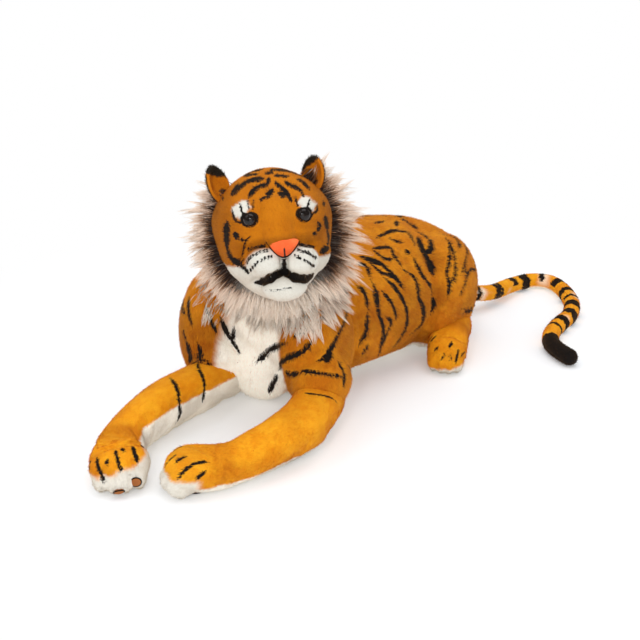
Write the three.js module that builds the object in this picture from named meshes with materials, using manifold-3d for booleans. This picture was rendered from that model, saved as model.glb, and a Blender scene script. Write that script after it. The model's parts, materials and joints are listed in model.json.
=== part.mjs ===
// A large lying plush tiger, sewn from plush panels over fibre stuffing.
// Millimetres, +Z up. The tiger looks along -Y, its left side is +X, and it lies on the plane Z = 0.
// Each stuffed part is a skin with its stuffing inside. The neck, ears, forelegs, hind feet and tail
// flex where they are sewn on: there the stuffing of one part ends in a ball in a cup of the next.
import * as THREE from "three";
import { mergeVertices } from "three/addons/utils/BufferGeometryUtils.js";
import Module from "manifold-3d";

const kit = await Module();
kit.setup();

const degrees = THREE.MathUtils.degToRad;

// Plush cloth, and how two pieces meet
const PILE = 6; // thickness of the plush, backing and pile together
const SEAM_GAP = 0.3; // between two pieces that lie against each other
const SWEEP_GAP = 2.4; // round a part that swings, so that it clears its neighbour
const BALL_GAP = 1.5; // between a skin and the ball of stuffing that turns in it
const FLAT_CUT = 0.5; // how deep the underside is pressed flat where the tiger lies

// Torso
const TORSO_LENGTH = 625;
const TORSO_WIDTH = 296;
const TORSO_HEIGHT = 312;
const CHEST_ROUND = 58; // length over which the chest closes
const RUMP_ROUND = 92;
const BELLY_SEAM_HEIGHT = 30; // height of the seam between the back and belly panels
const BIB_WIDTH = 140; // white panel up the chest
const BIB_HEIGHT = 250;
const BIB_DEPTH = 95; // from the front of the chest
const BIB_ACROSS_SHARE = -0.29; // of the torso's width, where the bib's middle is
const TORSO_SHARES = [
  // across, along, half width, half height: of the torso's width, length and half sizes
  [-0.297, -0.152, 0.8, 0.9],
  [-0.236, -0.032, 0.93, 0.99],
  [-0.13, 0.128, 0.97, 1],
  [-0.015, 0.288, 0.96, 0.965],
  [0.085, 0.448, 0.91, 0.88],
  [0.14, 0.58, 0.78, 0.74],
];

// Neck
const NECK_RADIUS = 74;
const NECK_SHARES = [-0.203, -0.194, 0.968]; // of the torso's width, length and height

// Shoulders, each over the elbow that its foreleg swings on
const SHOULDER_WIDTH = 132;
const SHOULDER_LENGTH = 186;
const SHOULDER_HEIGHT = 258;

// Forelegs. Places are shares of the torso, paths of the foreleg's length, girths of its half.
const FORELEG_LENGTH = 400;
const FORELEG_THICK = 98;
const FORELEG_OUT = degrees(10); // how far a foreleg swings away from the other
const FORELEG_IN = degrees(1); // and towards it, where the paws soon touch
const FORELEG_SEAM_HEIGHT = 30; // of the seam round the white underside
const PAW_ROUND = 46; // length over which the paw closes
const FORELEGS = [
  {
    name: "left",
    range: [-FORELEG_IN, FORELEG_OUT],
    topShares: [0.068, -0.152],
    jointShares: [0.2, -0.235],
    pathShares: [
      [0.055, -0.188, 1, 0.98],
      [0.065, -0.358, 0.98, 0.94],
      [0.005, -0.563, 0.92, 0.82],
      [-0.075, -0.725, 0.92, 0.76],
      [-0.175, -0.81, 1.08, 0.78],
    ],
  },
  {
    name: "right",
    range: [-FORELEG_OUT, FORELEG_IN],
    topShares: [-0.642, -0.184],
    jointShares: [-0.54, -0.24],
    pathShares: [
      [-0.015, -0.213, 1, 0.98],
      [-0.038, -0.45, 0.98, 0.96],
      [-0.025, -0.7, 0.88, 0.82],
      [0.025, -0.838, 1.02, 0.78],
      [0.09, -0.92, 1.12, 0.8],
    ],
  },
];

// Haunches and hind feet
const HAUNCH_WIDTH = 152;
const HAUNCH_LENGTH = 250;
const HAUNCH_HEIGHT = 250;
const HIND_FOOT_LENGTH = 188;
const HIND_FOOT_THICK = 88;
const HIND_FOOT_SWING = degrees(8);
const HIND_FOOT_SEAM_HEIGHT = 16;
const HIND_PAW_ROUND = 52;
const HINDLEGS = [
  {
    name: "left",
    range: [-HIND_FOOT_SWING, HIND_FOOT_SWING],
    topShares: [0.355, 0.464],
    jointShares: [0.456, 0.496],
    pathShares: [
      [0.096, -0.285, 0.98, 0.98],
      [0.166, -0.494, 1, 0.92],
      [0.23, -0.684, 1.02, 0.86],
    ],
  },
  {
    name: "right",
    range: [-HIND_FOOT_SWING, HIND_FOOT_SWING],
    topShares: [-0.13, 0.5],
    jointShares: [-0.24, 0.55],
    pathShares: [
      [-0.2, -0.22, 0.98, 0.98],
      [-0.34, -0.39, 1, 0.92],
      [-0.46, -0.55, 1.02, 0.86],
    ],
  },
];

// Toes and pads, alike on all four paws
const TOE_COUNT = 4;
const TOE_RADIUS = 19;
const TOE_SET_BACK = 14; // how far a middle toe's middle lies behind the paw's tip
const TOE_PANEL_LENGTH = 34; // how far back from the tip the white toe panel reaches
const PAD_RADIUS = 17;
const PAD_DIP = degrees(35); // how far down the pad faces

// Tail. Its root is a share of the torso, its path of its own length.
const TAIL_LENGTH = 860;
const TAIL_THICK = 36;
const TAIL_LIFT = degrees(30);
const TAIL_SWING = degrees(9);
const TAIL_SEAM_SHARES = [0, 0.215, 0.47, 0.686, 0.843]; // where its lengths meet
const TAIL_ROOT_HEIGHT = 66;
const TAIL_FALL = 3; // path points over which the tail comes down to the floor
const TAIL_ROOT_SHARES = [0.207, 0.696];
const TAIL_SHARES = [
  [0, 0],
  [0.076, 0.119],
  [0.098, 0.254],
  [0.126, 0.329],
  [0.176, 0.349],
  [0.231, 0.309],
  [0.286, 0.224],
  [0.31, 0.134],
  [0.306, 0.056],
  [0.308, -0.011],
  [0.328, -0.071],
  [0.364, -0.109],
  [0.407, -0.137],
];

// Head, in its own frame with the neck's middle at zero
const HEAD_TURN = degrees(39); // as sewn, the tiger looks to its left
const HEAD_TURN_RANGE = [degrees(-25), degrees(15)]; // from there, back to the front and further
const HEAD_NOD = degrees(10);
const HEAD_LIFT = degrees(-13);
const HEAD_TILT = degrees(-4);
const HEAD_WIDTH = 202;
const HEAD_DEPTH = 200;
const HEAD_HEIGHT = 228;
const HEAD_FORWARD = 108; // from the neck's middle to the head's middle
const HEAD_ABOVE = 50;

// Face. Heights are from the head's middle, and places across from its middle line.
const MUZZLE_RADIUS = 33; // of each whisker cushion
const MUZZLE_APART = 30;
const MUZZLE_ABOVE = -42;
const MUZZLE_SUNK = 10; // how far a cushion's middle lies inside the face
const CHIN_WIDTH = 80;
const CHIN_HEIGHT = 56;
const CHIN_DEPTH = 64;
const CHIN_ABOVE = -80;
const CHIN_OUT = 6; // of the chin's middle, past the face
const BRIDGE_WIDTH = 50;
const BRIDGE_LENGTH = 74;
const BRIDGE_ABOVE = 10;
const BRIDGE_SUNK = 12;
const NOSE_WIDTH = 46;
const NOSE_HEIGHT = 30;
const NOSE_DEPTH = 24;
const NOSE_ABOVE = -8;
const NOSE_OUT = 24;

// Eyes, each a domed plastic eye on a stem, held by a washer inside the head
const EYE_RADIUS = 12;
const EYE_DOME = 8;
const EYE_APART = 48;
const EYE_ABOVE = 41;
const EYE_OUTWARD = degrees(20); // how far the eyes look to the sides
const EYE_SEAT = 2.5; // how deep the eye's edge is pressed into the plush
const STEM_RADIUS = 3;
const STEM_LENGTH = 24;
const WASHER_RADIUS = 11;
const WASHER_THICK = 2.4;
const WASHER_BEHIND = 15; // from the eye's back to the washer

// Ears, each a padded cup with a lining, on a root in the side of the crown
const EAR_WIDTH = 62;
const EAR_HEIGHT = 66;
const EAR_THICK = 30;
const EAR_LINING = 3;
const EAR_ANGLE = degrees(46); // where the ear's root is, out from the crown
const EAR_LEAN = degrees(26);
const EAR_OUTWARD = degrees(24); // how far the ear opens to the side
const EAR_ROOT_RADIUS = 10;
const EAR_SWING = degrees(15);

// Ruff, a band of long plush round the back of the face from ear to ear
const RUFF_THICK = 8;
const RUFF_WIDTH = 46;
const RUFF_BEHIND = 26; // from the head's middle to the band's
const RUFF_TOP = 58; // height where the band ends below the ears

// How finely the forms are drawn: sides of the large ones, of limbs and trim, and of what is inside
const AROUND = 12;
const COARSE = 8;
const INSIDE = 6;
const CAP_RINGS = 2; // rings in a rounded end
const INSIDE_CAP_RINGS = 1;
const VAST_SHARE = 4; // a half space is drawn this many torsos deep
const VAST = VAST_SHARE * TORSO_LENGTH;

const FINISH = {
  orangePlush: { color: 0xc4742f, roughness: 0.95, metalness: 0 },
  whitePlush: { color: 0xe9e1d2, roughness: 0.95, metalness: 0 },
  ruffPlush: { color: 0xb9a78c, roughness: 1, metalness: 0 },
  blackPlush: { color: 0x1d1a18, roughness: 0.9, metalness: 0 },
  padPlush: { color: 0xa8683a, roughness: 0.85, metalness: 0 },
  nosePlush: { color: 0xc98468, roughness: 0.7, metalness: 0 },
  stuffing: { color: 0xf4f2ee, roughness: 1, metalness: 0 },
  eyePlastic: { color: 0x14110f, roughness: 0.12, metalness: 0 },
  washerPlastic: { color: 0xd8d8d4, roughness: 0.5, metalness: 0 },
};

const point = (x, y, z) => new THREE.Vector3(x, y, z);
const UP = point(0, 0, 1);
const DOWN = point(0, 0, -1);

// A three.js geometry as a solid that can be joined and cut.
function solidOf(geometry) {
  const bare = geometry.clone();
  bare.deleteAttribute("normal");
  bare.deleteAttribute("uv");
  const { attributes, index } = mergeVertices(bare);
  const vertProperties = new Float32Array(attributes.position.array);
  const triVerts = new Uint32Array(index.array);
  return new kit.Manifold(new kit.Mesh({ numProp: 3, vertProperties, triVerts }));
}

// The rings of a swept form: where each lies on the path, how far past it, and its share of size.
// A dome of no length leaves its end flat, and a mouth carries a flat end on past the path.
function hoopsOf(rings, capRings, frontDome, rearDome, mouth) {
  const hoops = [];
  const dome = (spot, length, step) => {
    const angle = ((step / (capRings + 1)) * Math.PI) / 2;
    hoops.push({ spot, past: Math.sin(angle) * length, share: Math.cos(angle) });
  };
  for (let step = capRings; frontDome && step > 0; step--) dome(0, -frontDome, step);
  if (mouth && !frontDome) hoops.push({ spot: 0, past: -mouth, share: 1 });
  for (let ring = 0; ring <= rings; ring++) hoops.push({ spot: ring / rings, past: 0, share: 1 });
  if (mouth && !rearDome) hoops.push({ spot: 1, past: mouth, share: 1 });
  for (let step = 1; rearDome && step <= capRings; step++) dome(1, rearDome, step);
  return hoops;
}

// The faces between rings of as many points each, closed by a point at either end.
function facesOf(hoopCount, around) {
  const index = [];
  const last = 1 + hoopCount * around;
  const at = (hoop, step) => 1 + hoop * around + (step % around);
  for (let step = 0; step < around; step++) {
    index.push(0, at(0, step), at(0, step + 1));
    for (let hoop = 1; hoop < hoopCount; hoop++) {
      index.push(at(hoop - 1, step), at(hoop, step), at(hoop - 1, step + 1));
      index.push(at(hoop, step), at(hoop, step + 1), at(hoop - 1, step + 1));
    }
    index.push(last, at(hoopCount - 1, step + 1), at(hoopCount - 1, step));
  }
  return index;
}

// A closed form swept along stations, each with its middle, half width and half height. An end
// closes over a dome of the length given, or flat. Grow swells the whole form evenly.
function sweep(stations, { rings, around = AROUND, front = 0, rear = 0, grow = 0, mouth = 0 }) {
  const path = new THREE.CatmullRomCurve3(stations.map((station) => station.at));
  const girths = stations.map(({ wide, tall }) => point(wide, tall, 0));
  const girth = new THREE.CatmullRomCurve3(girths);
  const frontDome = front > 0 ? front + grow : 0;
  const rearDome = rear > 0 ? rear + grow : 0;
  const capRings = grow < 0 ? INSIDE_CAP_RINGS : CAP_RINGS;
  const hoops = hoopsOf(rings, capRings, frontDome, rearDome, mouth);
  const positions = [];
  const place = (spot, past, sideways, upward) => {
    const tangent = path.getTangent(spot);
    const side = point(0, 0, 0).crossVectors(tangent, UP).normalize();
    const top = point(0, 0, 0).crossVectors(side, tangent);
    const spotPoint = path.getPoint(spot).addScaledVector(tangent, past);
    spotPoint.addScaledVector(side, sideways).addScaledVector(top, upward);
    positions.push(...spotPoint.toArray());
  };

  place(0, -(frontDome || mouth), 0, 0);
  for (const { spot, past, share } of hoops) {
    const { x: wide, y: tall } = girth.getPoint(spot);
    for (let step = 0; step < around; step++) {
      const angle = (step / around) * 2 * Math.PI;
      const sideways = Math.cos(angle) * (wide + grow) * share;
      place(spot, past, sideways, Math.sin(angle) * (tall + grow) * share);
    }
  }
  place(1, rearDome || mouth, 0, 0);

  const geometry = new THREE.BufferGeometry();
  geometry.setAttribute("position", new THREE.Float32BufferAttribute(positions, 3));
  geometry.setIndex(facesOf(hoops.length, around));
  return solidOf(geometry);
}

// An ellipsoid of half sizes round a middle, turned by a quaternion.
function ball(centre, halves, { turn = new THREE.Quaternion(), sides = AROUND } = {}) {
  const geometry = new THREE.SphereGeometry(1, sides, Math.ceil(sides / 2));
  geometry.scale(...halves).applyQuaternion(turn);
  return solidOf(geometry.translate(...centre.toArray()));
}

// A round ball, with one of its corners straight towards a direction
function round(centre, radius, sides = COARSE, toward = UP) {
  const turn = new THREE.Quaternion().setFromUnitVectors(point(0, 1, 0), toward);
  return ball(centre, [radius, radius, radius], { turn, sides });
}

// How large a faceted hollow is whose flat facets clear a ball by the gap, however the ball turns
const clearOf = (radius, sides) => (radius + SEAM_GAP) / Math.cos(Math.PI / sides) ** 2;

// Everything past a plane through a point, on the side that the direction points to.
function beyond(centre, direction) {
  const geometry = new THREE.BoxGeometry(VAST, VAST, VAST).translate(0, VAST / 2, 0);
  const onto = direction.clone().normalize();
  const turn = new THREE.Quaternion().setFromUnitVectors(point(0, 1, 0), onto);
  return solidOf(geometry.applyQuaternion(turn).translate(...centre.toArray()));
}

// The seat of a ball, with a flat floor in one direction, the gap away from the ball's corner there
function seatOf(centre, radius, toward, sides = COARSE) {
  const floor = centre.clone().addScaledVector(toward, radius + SEAM_GAP);
  return round(centre, clearOf(radius, sides), sides).subtract(beyond(floor, toward));
}

const above = (height) => beyond(point(0, 0, height), UP);
const below = (height) => beyond(point(0, 0, height), DOWN);
const onFloor = (form) => form.subtract(below(0));

// A solid of revolution from [radius, distance] pairs, from a point along a direction.
function turned(outline, centre, direction, sides = COARSE) {
  const profile = outline.map(([radius, distance]) => new THREE.Vector2(radius, distance));
  const geometry = new THREE.LatheGeometry(profile, sides);
  const onto = direction.clone().normalize();
  const turn = new THREE.Quaternion().setFromUnitVectors(point(0, 1, 0), onto);
  return solidOf(geometry.applyQuaternion(turn).translate(...centre.toArray()));
}

// The ball that fits, with its gap, between the inner facets of a limb's skin
const ballIn = (limbRadius) => (limbRadius - PILE) * Math.cos(Math.PI / INSIDE) - BALL_GAP;

// How far past its joint a limb's skin starts, so that it can swing.
const skinStart = (seam) => seam.limbRadius * Math.tan(seam.swing) + SWEEP_GAP;

// What a limb needs free in its neighbours: a cup with a flat floor behind its ball, and a funnel
// to swing in.
function socket(seam) {
  const floor = seam.ballRadius + SEAM_GAP;
  const wall = clearOf(seam.ballRadius, COARSE);
  const outline = [[0, -floor]];
  const floorAngle = Math.asin(-floor / wall);
  const lipAngle = Math.asin(-SWEEP_GAP / wall);
  for (let step = 0; step <= CAP_RINGS; step++) {
    const angle = floorAngle + (step / CAP_RINGS) * (lipAngle - floorAngle);
    outline.push([wall * Math.cos(angle), wall * Math.sin(angle)]);
  }
  const mouth = seam.limbRadius / Math.cos(seam.swing) + SWEEP_GAP;
  outline.push([mouth, -SWEEP_GAP]);
  outline.push([mouth + seam.reach * Math.tan(seam.swing), seam.reach]);
  outline.push([0, seam.reach]);
  return turned(outline, seam.centre, seam.toward);
}

// The ball and stem that the stuffing of a limb ends in, at its joint
function ballAndStem(seam) {
  const stem = seam.ballRadius * Math.cos(seam.swing);
  const length = skinStart(seam) + PILE;
  const outline = [[0, 0], [stem, 0], [stem, length], [0, length]];
  const end = round(seam.centre, seam.ballRadius, INSIDE, seam.toward);
  return end.add(turned(outline, seam.centre, seam.toward, INSIDE));
}

const cut = (form, ...cutters) => cutters.reduce((rest, cutter) => rest.subtract(cutter), form);

// A skin's shell, open where its form ends flat, and the stuffing inside it, from a form that can
// be swollen and shrunk.
const hollow = (form) => form(-PILE, PILE);
const shell = (form) => form(0).subtract(hollow(form));
const filling = (form) => form(-PILE - SEAM_GAP);

// Part of a group as a mesh with a finish of its own. Slivers that a cut leaves are dropped.
function piece(group, name, form, finish) {
  const largest = form.decompose().reduce((a, b) => (b.volume() > a.volume() ? b : a));
  const { vertProperties, triVerts } = largest.getMesh();
  const geometry = new THREE.BufferGeometry();
  geometry.setAttribute("position", new THREE.BufferAttribute(vertProperties, 3));
  geometry.setIndex(new THREE.BufferAttribute(triVerts, 1));
  geometry.computeVertexNormals();
  const mesh = new THREE.Mesh(geometry, new THREE.MeshStandardMaterial(finish));
  mesh.name = name;
  group.add(mesh);
}

const onTorso = ([across, along], height) =>
  point(across * TORSO_WIDTH, along * TORSO_LENGTH, height);

// Torso
function torsoForm(grow) {
  const stations = TORSO_SHARES.map(([x, y, width, height]) => {
    const tall = (height * TORSO_HEIGHT) / 2;
    return { at: onTorso([x, y], tall - FLAT_CUT), wide: (width * TORSO_WIDTH) / 2, tall };
  });
  const drawn = grow < 0 ? { rings: 4, around: COARSE } : { rings: 5, around: AROUND };
  return sweep(stations, { ...drawn, front: CHEST_ROUND, rear: RUMP_ROUND, grow });
}

// Below the belly's seam and on the chest the torso's skin is one white panel.
function whiteFront(grow) {
  const middle = BIB_ACROSS_SHARE * TORSO_WIDTH;
  const half = BIB_WIDTH / 2 + grow;
  const back = TORSO_SHARES[0][1] * TORSO_LENGTH - CHEST_ROUND + BIB_DEPTH + grow;
  const sides = beyond(point(middle - half, 0, 0), point(1, 0, 0));
  const bib = cut(sides, beyond(point(middle + half, 0, 0), point(1, 0, 0)));
  const front = cut(bib, beyond(point(0, back, 0), point(0, 1, 0)), above(BIB_HEIGHT + grow));
  return below(BELLY_SEAM_HEIGHT + grow).add(front);
}

// The neck is a ball between the torso and the head, open below where its stuffing rests.
const neckCentre = onTorso(NECK_SHARES, NECK_SHARES[2] * TORSO_HEIGHT);
const neckMouth = neckCentre.z - NECK_RADIUS / 2;
const headTurn = new THREE.Quaternion().setFromEuler(
  new THREE.Euler(HEAD_LIFT, HEAD_TILT, HEAD_TURN, "ZYX"),
);
const headward = point(0, -HEAD_FORWARD, HEAD_ABOVE).normalize();
const neckForm = (grow) => {
  const toHead = headward.clone().applyQuaternion(headTurn);
  const inside = grow < 0;
  return round(neckCentre, NECK_RADIUS + grow, inside ? INSIDE : AROUND, inside ? DOWN : toHead);
};

// A leg's joint, and the stations of the limb that swings there
function jointed(leg, { length, thick, swing, reach }) {
  const half = thick / 2;
  const [x, y] = leg.pathShares[0];
  const centre = onTorso(leg.jointShares, half - FLAT_CUT);
  const ballRadius = ballIn(half);
  const seam = { centre, toward: point(x, y, 0).normalize(), ballRadius, limbRadius: half, swing, reach };
  const first = centre.clone().addScaledVector(seam.toward, skinStart(seam));
  const stations = [{ at: first, wide: half, tall: half }];
  for (const [x, y, width, height] of leg.pathShares) {
    const tall = height * half;
    const at = centre.clone().add(point(x * length, y * length, 0)).setZ(tall - FLAT_CUT);
    stations.push({ at, wide: width * half, tall });
  }
  const [before, end] = stations.slice(-2);
  const heading = end.at.clone().sub(before.at).setZ(0).normalize();
  return { ...leg, seam, socket: socket(seam), stations, end, heading };
}

const FORELEG_SIZES = {
  length: FORELEG_LENGTH,
  thick: FORELEG_THICK,
  swing: FORELEG_OUT,
  reach: SHOULDER_LENGTH,
};
const HIND_FOOT_SIZES = {
  length: HIND_FOOT_LENGTH,
  thick: HIND_FOOT_THICK,
  swing: HIND_FOOT_SWING,
  reach: HIND_FOOT_LENGTH,
};
const forelegs = FORELEGS.map((leg) => jointed(leg, FORELEG_SIZES));
const hindlegs = HINDLEGS.map((leg) => jointed(leg, HIND_FOOT_SIZES));

function limbForm(leg, rings, roundLength) {
  return (grow, mouth = 0) => {
    const drawn = grow < 0 ? { rings: rings - 1, around: INSIDE } : { rings, around: COARSE };
    return sweep(leg.stations, { ...drawn, rear: roundLength, grow, mouth });
  };
}

// A shoulder or haunch is an egg of plush that stands on the floor against the torso.
function legTopForm(leg, width, length, height) {
  const centre = onTorso(leg.topShares, height / 2 - FLAT_CUT);
  return (grow) => {
    const halves = [width / 2 + grow, length / 2 + grow, height / 2 + grow];
    return ball(centre, halves, { sides: grow < 0 ? INSIDE : AROUND });
  };
}

// Toes side by side across the front of a foot, the outer ones set back
function withToes(form, leg, roundLength) {
  const side = point(-leg.heading.y, leg.heading.x, 0);
  let toed = form;
  for (let toe = 0; toe < TOE_COUNT; toe++) {
    const place = (2 * toe + 1) / TOE_COUNT - 1;
    const setBack = TOE_SET_BACK * (1 + place * place);
    const at = leg.end.at.clone().addScaledVector(leg.heading, roundLength - setBack);
    at.addScaledVector(side, place * (leg.end.wide - TOE_RADIUS / 2));
    toed = toed.add(round(at.setZ(TOE_RADIUS - FLAT_CUT), TOE_RADIUS, INSIDE));
  }
  return toed;
}

// A pad is a patch let into the lower front of the toe panel. Grow widens its cutter.
function padCutter(leg, grow) {
  const toward = leg.heading.clone().setZ(-Math.tan(PAD_DIP));
  const radius = PAD_RADIUS + grow;
  const outline = [[0, 0], [radius, 0], [radius, FORELEG_THICK], [0, FORELEG_THICK]];
  return turned(outline, leg.end.at, toward, INSIDE);
}

const torsoCut = torsoForm(SEAM_GAP);
const neckCut = round(neckCentre, clearOf(NECK_RADIUS, AROUND), AROUND);

// Tail
const tailPath = new THREE.CatmullRomCurve3(
  TAIL_SHARES.map(([x, y], step) => {
    const rest = TAIL_THICK / 2 - FLAT_CUT;
    const rise = Math.max(0, 1 - step / TAIL_FALL) ** 2 * (TAIL_ROOT_HEIGHT - rest);
    const root = onTorso(TAIL_ROOT_SHARES, rest + rise);
    return root.add(point(x * TAIL_LENGTH, y * TAIL_LENGTH, 0));
  }),
);
const tailSeams = TAIL_SEAM_SHARES.map((spot, number) => {
  return {
    spot,
    centre: tailPath.getPointAt(spot),
    toward: tailPath.getTangentAt(spot),
    ballRadius: ballIn(TAIL_THICK / 2),
    limbRadius: TAIL_THICK / 2,
    swing: number ? TAIL_SWING : TAIL_LIFT,
    reach: TAIL_THICK,
  };
});
const tailSocket = socket(tailSeams[0]);

// One length of the tail, from past its own joint to just behind the next
function tailForm(number) {
  const whole = tailPath.getLength();
  const seam = tailSeams[number];
  const isTip = number === tailSeams.length - 1;
  const half = TAIL_THICK / 2;
  const start = seam.spot + skinStart(seam) / whole;
  const end = isTip ? 1 - half / whole : tailSeams[number + 1].spot - SWEEP_GAP / whole;
  const steps = Math.round(((end - start) * whole) / TAIL_THICK);
  const stations = Array.from({ length: steps + 1 }, (_, step) => {
    const at = tailPath.getPointAt(start + (step / steps) * (end - start));
    return { at, wide: half, tall: half };
  });
  const rear = isTip ? half : 0;
  return (grow, mouth = 0) => {
    const around = grow < 0 ? INSIDE : COARSE;
    return sweep(stations, { rings: steps, around, rear, grow, mouth });
  };
}

// Head, in its own frame
const headHalves = [HEAD_WIDTH / 2, HEAD_DEPTH / 2, HEAD_HEIGHT / 2];
const inHead = (x, y, z) => point(x, y - HEAD_FORWARD, z + HEAD_ABOVE);
const neckInHead = seatOf(point(0, 0, 0), NECK_RADIUS, headward, AROUND);

function headForm(grow) {
  const halves = headHalves.map((half) => half + grow);
  return ball(inHead(0, 0, 0), halves, { sides: grow < 0 ? COARSE : AROUND });
}

// A point on the face, across and above the head's middle and out past the face
function onFace(across, height, out = 0) {
  const left = 1 - (across / headHalves[0]) ** 2 - (height / headHalves[2]) ** 2;
  const forward = -headHalves[1] * Math.sqrt(Math.max(0, left));
  return inHead(across, forward - out, height);
}

const SIDES = [
  { name: "left", side: 1 },
  { name: "right", side: -1 },
];
const muzzleForm = (side, grow) => {
  const middle = onFace(side * MUZZLE_APART, MUZZLE_ABOVE, -MUZZLE_SUNK);
  return round(middle, MUZZLE_RADIUS + grow);
};
const chinHalves = [CHIN_WIDTH / 2, CHIN_DEPTH / 2, CHIN_HEIGHT / 2];
const chinForm = () => ball(onFace(0, CHIN_ABOVE, CHIN_OUT), chinHalves, { sides: COARSE });
const bridgeForm = (grow) => {
  const halves = [BRIDGE_WIDTH, BRIDGE_LENGTH, BRIDGE_LENGTH].map((size) => size / 2 + grow);
  return ball(onFace(0, BRIDGE_ABOVE, -BRIDGE_SUNK), halves, { sides: COARSE });
};
const noseHalves = [NOSE_WIDTH / 2, NOSE_DEPTH / 2, NOSE_HEIGHT / 2];
const noseForm = () => ball(onFace(0, NOSE_ABOVE, NOSE_OUT), noseHalves, { sides: COARSE });

const eyes = SIDES.map(({ name, side }) => {
  const toward = point(side * Math.sin(EYE_OUTWARD), -Math.cos(EYE_OUTWARD), 0);
  const at = onFace(side * EYE_APART, EYE_ABOVE).addScaledVector(toward, -EYE_SEAT);
  return { name, at, toward };
});

function eyeForm(eye) {
  const outline = [[0, -STEM_LENGTH], [STEM_RADIUS, -STEM_LENGTH], [STEM_RADIUS, 0]];
  const steps = 3;
  for (let step = 0; step <= steps; step++) {
    const angle = ((step / steps) * Math.PI) / 2;
    const radius = step < steps ? EYE_RADIUS * Math.cos(angle) : 0;
    outline.push([radius, EYE_DOME * Math.sin(angle)]);
  }
  return turned(outline, eye.at, eye.toward);
}

// What an eye and its washer need free in the head's skin and stuffing
function eyeSeat(eye) {
  const hole = STEM_RADIUS + SEAM_GAP;
  const rim = EYE_RADIUS + SEAM_GAP;
  const end = -STEM_LENGTH - SEAM_GAP;
  const outline = [[0, end], [hole, end], [hole, -SEAM_GAP], [rim, -SEAM_GAP]];
  const seat = turned([...outline, [rim, EYE_RADIUS], [0, EYE_RADIUS]], eye.at, eye.toward);
  const outer = WASHER_RADIUS + SEAM_GAP;
  const low = -WASHER_BEHIND - WASHER_THICK - SEAM_GAP;
  const high = -WASHER_BEHIND + SEAM_GAP;
  const pocket = [[0, low], [outer, low], [outer, high], [0, high]];
  return seat.add(turned(pocket, eye.at, eye.toward));
}

function washerForm(eye) {
  const inner = STEM_RADIUS + SEAM_GAP;
  const low = -WASHER_BEHIND - WASHER_THICK;
  const high = -WASHER_BEHIND;
  const disc = [[0, low], [WASHER_RADIUS, low], [WASHER_RADIUS, high], [0, high]];
  const hole = [[0, low - PILE], [inner, low - PILE], [inner, high + PILE], [0, high + PILE]];
  const flat = turned(disc, eye.at, eye.toward);
  return flat.subtract(turned(hole, eye.at, eye.toward));
}

// An ear's pieces, its seat in the head, and where and round what it folds
function earParts({ name, side }) {
  const angle = side * EAR_ANGLE;
  const out = point(Math.sin(angle), 0, Math.cos(angle));
  const reach = 1 / Math.hypot(out.x / headHalves[0], out.z / headHalves[2]);
  const root = inHead(out.x * reach, 0, out.z * reach);
  const lean = new THREE.Euler(0, side * EAR_LEAN, -side * EAR_OUTWARD, "ZYX");
  const turn = new THREE.Quaternion().setFromEuler(lean);
  const inEar = (x, y, z) => point(x, y, z).applyQuaternion(turn).add(root);
  const middle = EAR_HEIGHT / 2;
  const halves = [EAR_WIDTH / 2, EAR_THICK / 2, EAR_HEIGHT / 2];
  const body = ball(inEar(0, 0, middle), halves, { turn, sides: COARSE });
  const cup = (grow) => {
    const [wide, deep, tall] = halves;
    const cupHalves = [wide - PILE + grow, deep + grow, tall - PILE + grow];
    return ball(inEar(0, -deep, middle), cupHalves, { turn, sides: COARSE });
  };
  const clear = headForm(SWEEP_GAP + (EAR_THICK / 2) * Math.sin(EAR_SWING));
  const inward = inHead(0, 0, 0).sub(root).normalize();
  const outer = cut(cut(body, clear).add(round(root, EAR_ROOT_RADIUS, INSIDE, inward)), cup(0));
  const lining = cut(cup(-SEAM_GAP), cup(-SEAM_GAP - EAR_LINING), clear).intersect(body);
  const seat = seatOf(root, EAR_ROOT_RADIUS, inward, INSIDE);
  return { name, root, axis: inEar(1, 0, 0).sub(root), outer, lining, seat };
}

const ears = SIDES.map(earParts);

// The ruff's band hugs the head behind the cheeks and under the chin.
function ruffForm() {
  const band = headForm(RUFF_THICK + SEAM_GAP).subtract(headForm(SEAM_GAP));
  const back = beyond(inHead(0, RUFF_BEHIND + RUFF_WIDTH / 2, 0), point(0, 1, 0));
  const front = beyond(inHead(0, RUFF_BEHIND - RUFF_WIDTH / 2, 0), point(0, -1, 0));
  const top = beyond(inHead(0, 0, RUFF_TOP), UP);
  return cut(band, back, front, top, neckInHead);
}

// A length of tail stuffing ends in a shallow cup for the next length's ball.
function cupped(core, number) {
  const seam = tailSeams[number];
  const rim = seam.centre.clone().addScaledVector(seam.toward, -seam.ballRadius / 2);
  const outline = [[0, 0], [TAIL_THICK, 0], [TAIL_THICK, TAIL_THICK], [0, TAIL_THICK]];
  const behind = seam.toward.clone().negate();
  const seat = seatOf(seam.centre, seam.ballRadius, behind);
  return cut(core, turned(outline, rim, seam.toward), seat);
}

const tiger = new THREE.Group();
const head = new THREE.Group();

function addTorso() {
  const openings = [neckCut, ...[...forelegs, ...hindlegs].map((leg) => leg.socket), tailSocket];
  const skin = cut(onFloor(shell(torsoForm)), ...openings);
  piece(tiger, "torso_back_panel", skin.subtract(whiteFront(SEAM_GAP)), FINISH.orangePlush);
  piece(tiger, "torso_belly_panel", skin.intersect(whiteFront(0)), FINISH.whitePlush);
  const neckSeat = seatOf(neckCentre, NECK_RADIUS - PILE - SEAM_GAP, DOWN, AROUND);
  const underNeck = neckCut.subtract(below(neckMouth - SEAM_GAP)).add(neckSeat);
  const core = cut(filling(torsoForm), underNeck, ...openings.slice(1));
  piece(tiger, "torso_stuffing", core, FINISH.stuffing);
}

function addNeck() {
  piece(tiger, "neck_skin", shell(neckForm).subtract(below(neckMouth)), FINISH.ruffPlush);
  piece(tiger, "neck_stuffing", filling(neckForm), FINISH.stuffing);
}

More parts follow.
